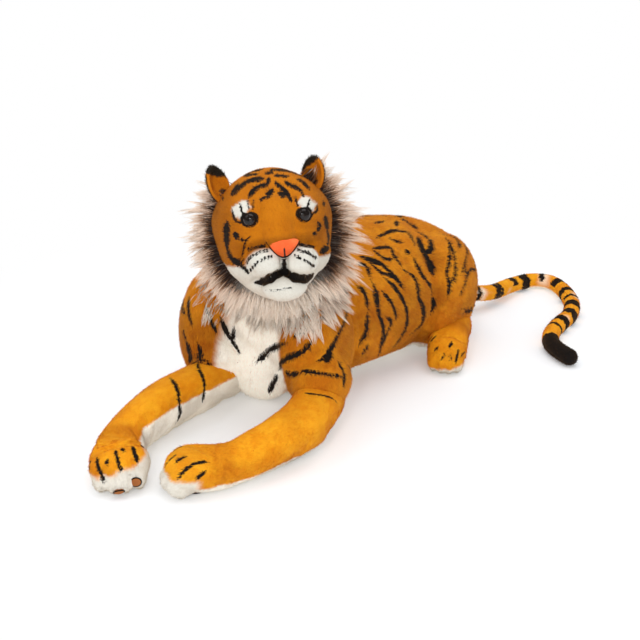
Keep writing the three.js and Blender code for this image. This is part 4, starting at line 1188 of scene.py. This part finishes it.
# %% One method for every node
class Shade:
    def __init__(self, name):
        self.material = bpy.data.materials.new(name)
        self.material.use_nodes = True
        self.tree = self.material.node_tree
        self.base = self.tree.nodes["Principled BSDF"]

    def node(self, kind, settings=None, sockets=None, output=0):
        made = self.tree.nodes.new(kind)
        for key, value in (settings or {}).items():
            setattr(made, key, value)
        self.plug(made, sockets or {})
        return Wire(self, made.outputs[output])

    def plug(self, made, sockets):
        for key, value in sockets.items():
            if isinstance(value, Wire):
                self.tree.links.new(value.socket, made.inputs[key])
            else:
                made.inputs[key].default_value = value

    def mix(self, share, first, second):
        settings = {"data_type": "RGBA", "blend_type": "MIX"}
        return self.node("ShaderNodeMix", settings, {0: share, 6: first, 7: second}, 2)

    def noise(self, place, scale, detail=3.0):
        sockets = {"Vector": place, "Scale": scale, "Detail": detail}
        return self.node("ShaderNodeTexNoise", {}, sockets)

    def place(self):
        return self.node("ShaderNodeTexCoord", {}, {}, "Object")

    def bump(self, height, strength, distance):
        return self.node("ShaderNodeBump", {}, {"Strength": strength, "Distance": distance, "Height": height})

    def coat(self):
        named = {"attribute_name": "coat"}
        split = self.tree.nodes.new("ShaderNodeSeparateColor")
        self.tree.links.new(self.node("ShaderNodeAttribute", named).socket, split.inputs[0])
        tip = self.node("ShaderNodeAttribute", named, {}, "Alpha")
        return [Wire(self, split.outputs[step]) for step in range(3)] + [tip]

    def finish(self, **sockets):
        named = {key.replace("_", " "): value for key, value in sockets.items()}
        self.plug(self.base, named)
        return self.material


def colour(code):
    parts = [int(code[step:step + 2], 16) / 255 for step in (0, 2, 4)]
    linear = [part / 12.92 if part <= 0.04045 else ((part + 0.055) / 1.055) ** 2.4 for part in parts]
    return (*linear, 1.0)


# %% [markdown]
# ## Plush
#
# Plush here is darker at the roots of its pile, as painted shade, its black hairs grey towards their
# tips, its colour drifts softly in clouds, and it has a sheen at the edges. The finish mixes golden orange,
# cream and black by the coat's masks, with a cloudy noise and a fine one. The third mask darkens it as
# painted shade mixed with a random mottle, and the plush glows faintly as a painted fill light, white
# plush most.

# %% The plush finish
CLOUDS, FIBRE, GRAIN = (15.0, 52.0), 420.0, 1400.0
PAINTED_GLOW, SHEEN = 0.2, 0.12


def plush(name, light, middle, deep, cream=("f7f3e9", "e6decd"), black="14100e", rough=0.82, glow=0.0):
    shade = Shade(name)
    is_black, is_white, shade_and_mottle, tip = shade.coat()
    place = shade.place()
    cloud = shade.noise(place, CLOUDS[0], 2.0) + shade.noise(place, CLOUDS[1], 2.0)
    fine = shade.noise(place, FIBRE, 2.0)
    tone = (cloud + fine * 0.5 - 0.75).between(0.1, 0.9)
    orange = shade.mix(tone, colour(middle), colour(light))
    # painted shade: the coat's third mask, with its random mottle, and the roots of the pile darken the
    # orange
    orange = shade.mix(shade_and_mottle * 0.75, orange, colour(deep))
    orange = shade.mix((1 - tip) * 0.16, orange, colour(deep))
    # the cream greys towards the roots and under the third mask, as painted shade
    pale = shade.mix(fine.between(0.3, 0.7) * 0.4 + (1 - tip) * 0.2, colour(cream[0]), colour(cream[1]))
    pale = shade.mix(shade_and_mottle * 0.45, pale, colour("b3a898"))
    dressed = shade.mix(is_white, orange, pale)
    ink = shade.mix(tip * fine * 0.8, colour(black), colour("3a2f2a"))
    dressed = shade.mix(is_black.between(0.25, 0.75), dressed, ink)
    # painted glow: all plush gives off a little of its own colour, white plush more where no shade is
    # painted, as a fill light
    painted_glow_colour = shade.mix(is_white * (1 - shade_and_mottle) * glow + 0.15, colour("000000"), dressed)
    height = fine + shade.noise(place, GRAIN, 1.0) * 0.5
    bump = shade.bump(height, 0.35, 0.0006)
    return shade.finish(Base_Color=dressed, Roughness=fine * 0.16 + (rough - 0.08), Normal=bump,
                        Emission_Color=painted_glow_colour, Emission_Strength=PAINTED_GLOW, Sheen_Weight=SHEEN,
                        Sheen_Roughness=0.45, Sheen_Tint=colour("ffb860"), Specular_IOR_Level=0.15)


# the glow of white plush on the body and legs is a painted fill light
body_plush = plush("orange and white plush", "e49418", "ca7209", "7f3c04", glow=0.85)
leg_plush = plush("golden leg plush", "fab420", "ea930c", "c06a08", glow=0.85)
head_fur = plush("head plush", "d07c06", "c26e03", "7c4003", cream=("dfdcd1", "cfc8ba"))
ear_fur = plush("ear plush", "ea9212", "d87a08", "a85a06", black="241f18")
paw_pad = plush("brown pad plush", "a8683a", "96582d", "6f3d1c")
print("plush finishes made")

# %% [markdown]
# ## Dressing the parts
#
# Every part gets its painted skin and its pile. Skin and pile move the same way: they ride on a body
# of the imported model, or, across a sewn joint, stay where they lie and ride on none.

# %% Which way the nap is brushed
def nap_torso(points):
    way = np.tile([0.0, 0.7, -0.7], (len(points), 1))
    front = step_down(points[:, 1], -215, -150)
    return way * (1 - front)[:, None] + np.array([0.0, 0.05, -1.0]) * front[:, None]


def nap_leg(name):
    line = spline(legs[name][1][:, :3], 40)
    tangent = unit(np.gradient(line, axis=0))

    def nap(points):
        best = gaps(points, line).argmin(1)
        return tangent[best] + np.array([0, 0, -0.25])

    return nap


def nap_tail(points):
    best = gaps(points, tail_line).argmin(1)
    return unit(np.gradient(tail_line, axis=0))[best]


def nap_head(points):
    local = to_head(points)
    away = local - np.array([0, -118, -4])
    away[:, 2] += np.where(local[:, 2] > 10, 12, -8)
    return away @ head_turn.T


def nap_ear(name):
    root, turn = ears[name][1:]
    return lambda points: (points - root) + turn @ np.array([0, 0, 20.0])


# %% Motion: riding on a body, or, across a joint, staying in place
def moves(pieces, body, other=None, start=None, end=None):
    for piece in pieces:
        if other is None:
            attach(piece, body)
        else:
            tuple(start * MM)
            tuple(end * MM)
            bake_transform(piece)


def wears(piece, finish):
    piece.data.materials.clear()
    piece.data.materials.append(finish)


def dress(piece, label, paint, flow, per_cm2, length, seed, finish, slot, keep=None, **hair):
    paint_skin(piece, paint)
    coat = pile(label + "_pile", piece, per_cm2, length, flow, paint, seed, keep=keep, **hair)
    for part in (piece, coat):
        wears(part, finish)
    return [piece, coat]


# %% The torso with its shoulders and haunches
def buried(centre, radius):
    return lambda points: span(points - centre) < radius


UNDER_HEAD, IN_NECK, IN_LIMB = 84, 66, 0.86
NECK_BEND, LEG_BEND, EAR_BEND, TAIL_BEND = (14, 26), (12, 44), (4, 12), (0.03, 0.045)


def torso_shows(points, normals):
    hidden = (points[:, 2] < BARE_BELOW) | buried(head_middle, UNDER_HEAD)(points)
    for name in LEGS:
        joint = joints[LEGS[name][0]]
        line = legs[name][1]
        toward = over_floor(line[2, :3] - joint)
        ahead = (points - joint) @ toward
        hole = buried(joint + (0, 0, 2) + toward * 12, LEGS[name][2] * IN_LIMB)
        hidden |= hole(points) & (ahead > -10)
    return ~hidden


torso_parts = dress(torso, "torso", paint_torso, nap_torso, per_cm2=17, length=8.5, seed=11,
                    finish=body_plush, slot="orange_plush", keep=torso_shows)
sides = ("left", "right")
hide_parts("torso_back_panel", "torso_belly_panel", "torso_stuffing", "neck_skin", "neck_stuffing",
            *[f"{part}_{side}_{kind}" for part in ("shoulder", "haunch") for side in sides
              for kind in ("skin", "stuffing")])
neck_way = unit(np.array([0, -0.35, 0.94]))
moves(torso_parts, "torso", "neck", neck - neck_way * NECK_BEND[0], neck + neck_way * NECK_BEND[1])

# %% The pads let into the forepaws, and the legs
PAD_ROUND, PAD_THICK = 0.9, 4.5
PAD_SPOTS = {
    "foreleg_right": [((-158, -622, 27), 9), ((-177, -643, 13), 9)],
    "foreleg_left": [((-74, -566, 1), 8), ((-95, -572, 1), 8)],
}


def onto(piece, spot):
    points = points_of(piece)
    nearest = span(points - spot).argmin()
    return points[nearest], normals_of(piece)[nearest]


pads = {}
for name, spots in PAD_SPOTS.items():
    forms, rings = [], []
    for spot, radius in spots:
        middle, toward = onto(legs[name][0], np.array(spot, float))
        side = unit(np.cross(toward, UP))
        turn = np.column_stack([side, np.cross(side, toward), toward])
        forms.append(egg(middle + toward, (radius, radius * PAD_ROUND, PAD_THICK), turn, around=28))
        rings.append((middle + toward, radius, turn))
    verts, faces = together(forms)
    pads[name] = (mesh_object(f"{name}_pad_patch", off_floor(verts), faces), rings)
    pads[name][0].data.shade_smooth()


def leg_shows(points, normals):
    bare = points[:, 2] < BARE_BELOW
    for _, rings in pads.values():
        for middle, radius, _ in rings:
            bare |= span(points - middle) < radius + 1
    return ~bare


for number, name in enumerate(LEGS):
    joint_name, length, half = LEGS[name][:3]
    piece, stations = legs[name][:2]
    parts = dress(piece, name, paint_leg(name), nap_leg(name), per_cm2=20, length=6.5,
                  seed=20 + number, finish=leg_plush, slot="orange_plush", keep=leg_shows)
    kinds = ["upper_panel", "under_panel", "toes", "stuffing"]
    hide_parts(*[f"{name}_{kind}" for kind in kinds])
    joint = joints[joint_name]
    toward = over_floor(stations[2, :3] - joint)
    moves(parts, "torso", name, joint - toward * LEG_BEND[0], joint + toward * LEG_BEND[1])

# %% The tail
for number, piece in enumerate(tails):
    parts = dress(piece, f"tail_{number + 1}", paint_tail, nap_tail, per_cm2=20, length=6,
                  seed=40 + number, finish=leg_plush,
                  slot="black_plush" if number == 4 else "orange_plush",
                  keep=lambda points, normals: points[:, 2] > TAIL_BARE_BELOW)
    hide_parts(f"tail_{number + 1}_skin", f"tail_{number + 1}_stuffing")
    start, end = TAIL_SEAMS[number] - TAIL_BEND[0], TAIL_SEAMS[number] + TAIL_BEND[1]
    before = "torso" if number == 0 else f"tail_{number}"
    moves(parts, before, f"tail_{number + 1}", tail_at(max(start, 0)), tail_at(end))

# %% The head and the ears
EYE_BARE = 12


def head_shows(points, normals):
    local = to_head(points)
    eye = np.minimum(*[span(local - spot) for spot in EYE_SPOTS])
    return (eye > EYE_BARE) & ~buried(neck + (10, -10, 0), IN_NECK)(points)


head_parts = dress(head, "head", paint_head, nap_head, per_cm2=30, length=5.2, seed=60,
                   finish=head_fur, slot="orange_plush", keep=head_shows, width=1.2, pale=0.75)
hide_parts("head_skin", "head_stuffing", "bridge", "muzzle_left", "muzzle_right", "chin")
moves(head_parts, "head")
for number, (name, (piece, root, turn)) in enumerate(ears.items()):
    parts = dress(piece, f"ear_{name}", paint_ear(name), nap_ear(name), per_cm2=26, length=6,
                  seed=70 + number, finish=ear_fur, slot="black_plush", lean=32, width=1.2)
    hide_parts(f"ear_{name}_outer", f"ear_{name}_lining")
    up = turn @ UP
    moves(parts, "head", f"ear_{name}", root - up * EAR_BEND[0], root + up * EAR_BEND[1])

# %% [markdown]
# ## Ruff
#
# A band of long plush stands out round the back of the face, from ear to ear and under the chin.
# Its hairs are near black at the root beside the face and fade to pinkish cream, and they hang in
# locks. Each lock has a guide line that leaves the head outwards and backwards and sags with its
# weight, and its hairs close towards the guide at the tip.

# %% Long hairs in locks
LOCK_LEVELS, LOCK_WIDTH = 8, 1.3


def locks(name, roots, ways, lengths, coats, normals, hairs, seed, sag, spread):
    random = np.random.RandomState(seed)
    count = len(roots)
    share = np.linspace(0, 1, LOCK_LEVELS)[None, :, None]
    curl = random.normal(0, 0.16, (count, 1, 3))
    guide = roots[:, None] + (ways[:, None] + curl * share) * lengths[:, None, None] * share
    guide[:, :, 2] -= sag * share[:, :, 0] ** 2 * (lengths / 60)[:, None]
    guide = np.repeat(guide, hairs, axis=0)
    number = len(guide)
    offset = random.normal(0, 1, (number, 1, 3)) * spread
    normals = np.repeat(normals, hairs, axis=0)
    offset -= (offset[:, 0] * normals).sum(1)[:, None, None] * normals[:, None] * 0.7
    short = (0.62 + 0.38 * random.rand(number))[:, None, None]
    closing = 1 - 0.82 * share**1.3
    path = guide[:, :1] + (guide - guide[:, :1]) * short + offset * closing
    way = unit(path[:, -1] - path[:, 0])
    side = unit(np.cross(way, normals + random.normal(0, 0.35, (number, 3))))
    soft = unit(normals + 0.35 * random.normal(0, 1, (number, 3)))
    coats = np.repeat(coats, hairs, axis=0) + random.normal(0, 0.05, (number, 3))
    order = np.argsort(coats[:, 0] + random.rand(number) * 0.1)
    wide = LOCK_WIDTH * (0.7 + 0.6 * random.rand(number))
    piece = ribbons(name, path, side, wide, np.clip(coats, 0, 1), soft, order)
    print(name, number, "long hairs")
    return piece


# %% The finish of long hair: dark root, cream tip
def long_plush(name, root, middle, tip_colour):
    shade = Shade(name)
    dark, pale, _, tip = shade.coat()
    place = shade.place()
    fine = shade.noise(place, 260.0, 2.0)
    reach = tip + fine * 0.3 - 0.15
    shown = shade.mix((reach - dark).between(-0.05, 0.22), colour(root), colour(middle))
    shown = shade.mix((reach - dark).between(0.1, 0.42), shown, colour(tip_colour))
    cream = shade.mix(fine.between(0.35, 0.7), colour("faf4e8"), colour("e4d6c0"))
    shown = shade.mix(pale * 0.85, shown, cream)
    bump = shade.bump(shade.noise(place, 900.0, 2.0), 0.3, 0.0005)
    return shade.finish(Base_Color=shown, Roughness=fine * 0.2 + 0.5, Normal=bump,
                        Sheen_Weight=0.08, Sheen_Tint=colour("ffd9b0"), Specular_IOR_Level=0.15)


ruff_finish = long_plush("long ruff plush", "2a140a", "a9764f", "f2d8c2")

# %% The ruff round the face
random = np.random.RandomState(5)
RUFF_FROM, RUFF_STEP, RUFF_ROWS, ROW_GAP = 42, 4.2, 7, 7.5
RUFF_HALF, RUFF_TALL = 100, 114
RUFF_LENGTH, ROW_LONGER = 46, 3.2
LOW_SHORTER, SIDE_LONGER = 0.22, 0.45
roots, ways, lengths, coats, normals = [], [], [], [], []
for row in range(RUFF_ROWS):
    back = -4 + row * ROW_GAP
    for angle in np.arange(RUFF_FROM, 360 - RUFF_FROM, RUFF_STEP):
        turn = math.radians(angle + random.uniform(-2, 2))
        across, up = math.sin(turn), math.cos(turn)
        girth = math.sqrt(max(1 - (back / RUFF_HALF) ** 2, 0.1))
        low = step_up(np.array(-up), 0.55, 0.95)
        spot = np.array([across * RUFF_HALF * girth, back, up * RUFF_TALL * girth + 2])
        outward = unit(np.array([across, 0.10 + 0.085 * row, up]))
        roots.append(spot)
        ways.append(unit(outward + np.array([0, -0.35 * low, 0])))
        longer = 1 - LOW_SHORTER * low + SIDE_LONGER * max(across, 0) * (1 - low)
        lengths.append((RUFF_LENGTH + ROW_LONGER * row) * random.uniform(0.8, 1.15) * longer)
        coats.append([0.42 - 0.05 * row - 0.42 * low, 0.6 * low + 0.06 * row, 0])
        normals.append(unit(np.array([across * 0.5, -1.0 + 0.12 * row, up * 0.5 + 0.3])))
ruff = locks("ruff_hair", from_head(roots), np.array(ways) @ head_turn.T, np.array(lengths),
             np.array(coats), np.array(normals) @ head_turn.T, hairs=22, seed=6, sag=14, spread=5.5)
wears(ruff, ruff_finish)
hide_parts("ruff")
moves([ruff], "head")

# %% The long white hair down the chest and over the nape
CHEST_TRIES, CHEST_AROUND, CHEST_ABOVE, CHEST_BEFORE, CHEST_LENGTH = 9000, 150, 196, -90, 38.0
chest_roots, chest_normals = roots_on(torso, CHEST_TRIES, seed=8)[:2]
round_neck = span((chest_roots - neck) * (1, 1, 0.9))
chosen = (round_neck < CHEST_AROUND) & (chest_roots[:, 2] > CHEST_ABOVE)
chosen &= chest_roots[:, 1] < CHEST_BEFORE
chosen &= ~buried(head_middle, 88)(chest_roots)
chest_roots, chest_normals = chest_roots[chosen], chest_normals[chosen]
away = over_floor(chest_roots - neck)
fall = unit(away * 0.55 + np.array([0, 0, -1.0]) + chest_normals * 0.5)
front = step_up(-away[:, 1], 0.1, 0.7)
chest_coats = np.column_stack([0.05 + 0 * front, 0.35 + 0.55 * front, 0 * front])
chest = locks("chest_hair", chest_roots, fall, np.full(len(chest_roots), CHEST_LENGTH), chest_coats,
              chest_normals, hairs=16, seed=9, sag=6, spread=5)
wears(chest, ruff_finish)
moves([chest], "torso")

# %% [markdown]
# ## Eyes, nose and mouth
#
# The eyes are domed plastic, dark and glossy, on a stem that a washer holds inside the head. A lathe
# outline spun round the eye's own line gives the dome, and a soft black rim of plush sits round it.

# %% A lathe form
LATHE_STEPS = 40


def lathe(name, outline, centre, toward):
    toward = unit(np.asarray(toward, float))
    side = unit(np.cross(toward, UP))
    top = np.cross(side, toward)
    turn = np.linspace(0, 2 * math.pi, LATHE_STEPS, endpoint=False)
    verts = []
    for radius, distance in outline:
        ring = np.outer(np.cos(turn), side) + np.outer(np.sin(turn), top)
        verts.append(centre + toward * distance + ring * max(radius, 0.02))
    piece = mesh_object(name, np.vstack(verts), tube_faces(len(outline), LATHE_STEPS))
    piece.data.shade_smooth()
    return piece


# %% Eyes and their rims
EYE_RADIUS, EYE_DOME = 11.5, 8


def eye_finish():
    shade = Shade("glossy eye plastic")
    cloud = shade.noise(shade.place(), 300.0, 2.0)
    dark = shade.mix(cloud.between(0.3, 0.7), colour("0b0908"), colour("241a14"))
    bump = shade.bump(cloud, 0.02, 0.0002)
    return shade.finish(Base_Color=dark, Roughness=cloud * 0.03 + 0.04, Normal=bump,
                        Coat_Weight=1.0, Coat_Roughness=0.03, Coat_IOR=1.38, Specular_IOR_Level=0.02)


def washer_finish():
    shade = Shade("pale washer plastic")
    grain = shade.noise(shade.place(), 500.0, 2.0)
    tone = shade.mix(grain, colour("d8d8d4"), colour("c4c4c0"))
    bump = shade.bump(grain, 0.1, 0.0003)
    return shade.finish(Base_Color=tone, Roughness=grain * 0.1 + 0.45, Normal=bump)


eye_plastic = eye_finish()
felt = plush("black felt rim", "1a1512", "14100e", "0d0a09", rough=0.9)
for name, side in (("left", 1), ("right", -1)):
    toward = head_turn @ np.array([side * math.sin(math.radians(20)), -math.cos(math.radians(20)), 0])
    spot = from_head(EYE_SPOTS[0 if side < 0 else 1] + (0, 0.8, 0))
    outline = [(3, -24), (3, -1)]
    outline += [(EYE_RADIUS * math.cos(a), EYE_DOME * math.sin(a)) for a in np.linspace(0, math.pi / 2, 16)]
    eye = lathe(f"eye_{name}_dome", outline, spot + toward * 1.5, toward)
    wears(eye, eye_plastic)
    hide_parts(f"eye_{name}")
    ring = [(EYE_RADIUS + 0.6 + 1.9 * math.cos(a), 1.0 + 1.9 * math.sin(a))
            for a in np.linspace(0, 2 * math.pi, 13)]
    rim = lathe(f"eye_{name}_rim", ring, spot + toward * 0.8, toward)
    wears(rim, felt)
    wear(rim, *np.zeros((4, len(rim.data.vertices))))
    moves([eye, rim], "head")
washer_plastic = washer_finish()
for name in sides:
    washer = frame["nodes"][f"eye_washer_{name}"]
    washer.data.materials.clear()
    washer.data.materials.append(washer_plastic)

# %% [markdown]
# The nose is a flat triangle of pinkish orange plush over its own padding, bound with a black line.
# Rings of the triangle's outline, smaller and prouder towards its middle, stand off the bridge.

# %% The nose patch and its black binding
NOSE_EDGE = [(-23, 1), (-14, 3.5), (4, 2.5), (22, 2), (32, -4), (25, -14), (15, -23), (4, -27),
             (-7, -23), (-16, -12)]
NOSE_RINGS, NOSE_FRONT, NOSE_BULGE, NOSE_DEEP = 9, -114, 8, 12


def nose_patch():
    edge = spline([*NOSE_EDGE, NOSE_EDGE[0]], 49)[:-1]
    centre = edge.mean(0)
    verts = []
    for share in np.linspace(1, 0.08, NOSE_RINGS):
        rows = centre + (edge - centre) * share
        bulge = NOSE_BULGE * math.sqrt(1 - share**2.2)
        groove = 4 * np.exp(-((rows[:, 0] - centre[0]) / 2.6) ** 2) * step_up(-rows[:, 1], 8, 15)
        depth = NOSE_FRONT - bulge + groove * (1 - share) ** 0.3
        depth += np.abs(rows[:, 0] - centre[0]) * 0.4 - (rows[:, 1] + 12) * 0.1
        verts.append(np.column_stack([rows[:, 0], depth, rows[:, 1]]))
    rim = verts[0]
    verts.insert(0, rim + (0, NOSE_DEEP, 0))
    return np.vstack(verts), tube_faces(len(verts), len(edge)), rim


nose_verts, nose_faces, nose_rim = nose_patch()
nose = mesh_object("nose_patch", from_head(nose_verts), nose_faces)
nose.data.shade_smooth()
nose_plush = plush("nose plush", "fb7a42", "f2602e", "b23a18", rough=0.7)
wears(nose, nose_plush)
# Painted shade: black down the groove in the nose's middle, and darker over its lower part
from_middle = np.abs(nose_verts[:, 0] - nose_verts[:, 0].mean())
groove_shade = step_down(from_middle, 0.8, 2.4) * step_up(-nose_verts[:, 2], 9, 12)
painted_shade_below = 0.7 * step_up(-nose_verts[:, 2], 8, 24)
wear(nose, groove_shade * 0.8, np.zeros(len(nose_verts)), painted_shade_below, np.ones(len(nose_verts)))
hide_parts("nose")
moves([nose], "head")


# %% A thin roll of black felt along a line
def roll(name, path, thick):
    line = spline(path, 6 * len(path))
    stations = [(*spot, thick, thick) for spot in line]
    verts, faces = loft(stations, front=thick, rear=thick, rings=len(line) * 2, around=10)
    piece = mesh_object(name, off_floor(verts), faces)
    piece.data.shade_smooth()
    wears(piece, felt)
    wear(piece, *np.zeros((4, len(verts))))
    return piece


# %% Whisker marks: short rows of black tufts on both cushions
mark_roots, mark_tips, mark_normals = [], [], []
head_points, head_normals = points_of(head), normals_of(head)
head_seen = as_seen(to_head(head_points))
head_hidden = facing_us(to_head(head_points), head_normals) < 0.25
for spot in whisker_spots:
    nearest = (span(head_seen - spot) + head_hidden * 500).argmin()
    middle, toward = head_points[nearest], head_normals[nearest]
    down = head_turn @ np.array([math.copysign(0.2, spot[0]), 0, -1.0])
    down = unit(down - (down @ toward) * toward)
    across = np.cross(toward, down)
    for step in (-1, 0, 1):
        mark_roots.append(middle + toward * 2.2 - down * 3.0 + across * step * 0.7)
        mark_tips.append(middle + toward * 3.4 + down * 3.6 + across * step * 0.4)
        mark_normals.append(toward)
mark_paths = np.stack([mark_roots, mark_tips], axis=1)
count = len(mark_paths)
mark_sides = unit(np.cross(mark_paths[:, 1] - mark_paths[:, 0], np.array(mark_normals)))
marks = ribbons("whisker_marks", mark_paths, mark_sides, np.full(count, 1.7),
                np.tile([1.0, 0, 0], (count, 1)), np.array(mark_normals), np.arange(count))
wears(marks, head_fur)
moves([marks], "head")

# %% The binding round the nose
BINDING_STEPS = (0, 46, 43, 40, 36, 33, 30, 27, 24, 20)
binding_path = [nose_rim[step] + (0, -0.4, 0) for step in BINDING_STEPS]
binding = roll("nose_binding", from_head(binding_path), 1.5)
moves([binding], "head")

# %% The pads of the forepaws, each with its black edge
for name, (patch, rings) in pads.items():
    count = len(patch.data.vertices)
    wear(patch, np.zeros(count), np.zeros(count), np.zeros(count), np.ones(count))
    wears(patch, paw_pad)
    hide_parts(f"{name}_pad")
    edges = []
    for number, (middle, radius, turn) in enumerate(rings):
        circle = [(radius * math.cos(a), radius * PAD_ROUND * math.sin(a), 0.8)
                  for a in np.linspace(0, 2 * math.pi, 25)]
        edges.append(roll(f"{name}_pad_edge_{number + 1}", np.array(circle) @ turn.T + middle, 1.2))
    moves([patch, *edges], name)

# %% [markdown]
# ## Floor, light and camera
#
# The toy was photographed on white under broad soft lights. The floor is nearly white and carries
# the soft shadow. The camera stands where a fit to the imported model's outlines puts it.

# %% The floor
def floor_finish():
    shade = Shade("studio floor")
    place = shade.place()
    grain = shade.noise(place, 3.0, 2.0)
    tone = shade.mix(grain, colour("fdfdfd"), colour("fafafa"))
    shade.finish(Base_Color=tone, Roughness=0.9, Specular_IOR_Level=0.1)
    far = shade.node("ShaderNodeVectorMath", {"operation": "LENGTH"}, {0: place}, "Value").between(0.6, 1.15)
    seen = shade.node("ShaderNodeLightPath", {}, {}, "Is Camera Ray")
    glow = shade.node("ShaderNodeEmission", {}, {"Color": (1, 1, 1, 1), "Strength": 1.0})
    joined = shade.node("ShaderNodeMixShader", {}, {0: seen * (far * 0.8 + 0.2)})
    shade.tree.links.new(shade.base.outputs[0], joined.socket.node.inputs[1])
    shade.tree.links.new(glow.socket, joined.socket.node.inputs[2])
    shade.tree.links.new(joined.socket, shade.tree.nodes["Material Output"].inputs["Surface"])
    return shade.material


floor = mesh_object("floor", np.array([(-1, -1, 0), (1, -1, 0), (1, 1, 0), (-1, 1, 0)]) * 30000,
                    [[0, 1, 2, 3]])
floor.data.materials.append(floor_finish())

# %% World and lamps
world = bpy.data.worlds.new("studio")
bpy.context.scene.world = world
world.use_nodes = True
sky = world.node_tree
rays = sky.nodes.new("ShaderNodeLightPath")
SKY_TINT, WHITE = (0.93, 0.96, 1.0, 1), (1, 1, 1, 1)


def backdrop(node, tint, strength):
    node.inputs["Color"].default_value = tint
    node.inputs["Strength"].default_value = strength
    return node.outputs[0]


def seen_by(ray, others, these):
    choose = sky.nodes.new("ShaderNodeMixShader")
    for number, light in enumerate((rays.outputs[ray], others, these)):
        sky.links.new(light, choose.inputs[number])
    return choose.outputs[0]


white = backdrop(sky.nodes["Background"], WHITE, 1.0)
soft, dim = (backdrop(sky.nodes.new("ShaderNodeBackground"), SKY_TINT, light) for light in (0.85, 0.2))
studio = seen_by("Is Camera Ray", seen_by("Is Glossy Ray", soft, dim), white)
sky.links.new(studio, sky.nodes["World Output"].inputs["Surface"])


def lamp(name, place, target, size, power):
    data = bpy.data.lights.new(name, "AREA")
    data.size, data.energy = size, power
    made = bpy.data.objects.new(name, data)
    bpy.context.collection.objects.link(made)
    made.location = place
    made.rotation_euler = (Vector(target) - Vector(place)).to_track_quat("-Z", "Y").to_euler()


lamp("key", (0.5, -1.9, 1.25), (-0.139, -0.25, 0.3), size=0.26, power=4.6)
lamp("fill", (1.3, -2.4, 0.9), (0, 0, 0.1), size=1.8, power=10)
lamp("side", (-1.6, -1.8, 2.4), (0, 0, 0.1), size=1.6, power=9)
lamp("top", (0.2, 0.2, 3.0), (0, 0, 0), size=2.4, power=31)

# %% The camera, at the photograph's angle
AZIMUTH, ELEVATION, DISTANCE = 29, 23, 2.2
FOCAL_PIXELS, FRAME_PIXELS, SENSOR = 1100, 640, 36
AIM_HEIGHT, MOVED_PIXELS = 0.13, (-10, 5)
around, above = math.radians(AZIMUTH), math.radians(ELEVATION)
backward = Vector((math.sin(around) * math.cos(above), -math.cos(around) * math.cos(above), math.sin(above)))
target = Vector((shift[0] * MM, shift[1] * MM, AIM_HEIGHT))
view = bpy.data.cameras.new("camera")
view.sensor_width = SENSOR
view.lens = FOCAL_PIXELS / FRAME_PIXELS * SENSOR
view.shift_x, view.shift_y = (pixels / FRAME_PIXELS for pixels in MOVED_PIXELS)
view.clip_end = 100
camera = bpy.data.objects.new("camera", view)
bpy.context.collection.objects.link(camera)
camera.location = target + backward * DISTANCE
camera.rotation_euler = backward.to_track_quat("Z", "Y").to_euler()
bpy.context.scene.camera = camera
bpy.context.scene.view_settings.view_transform = "Standard"
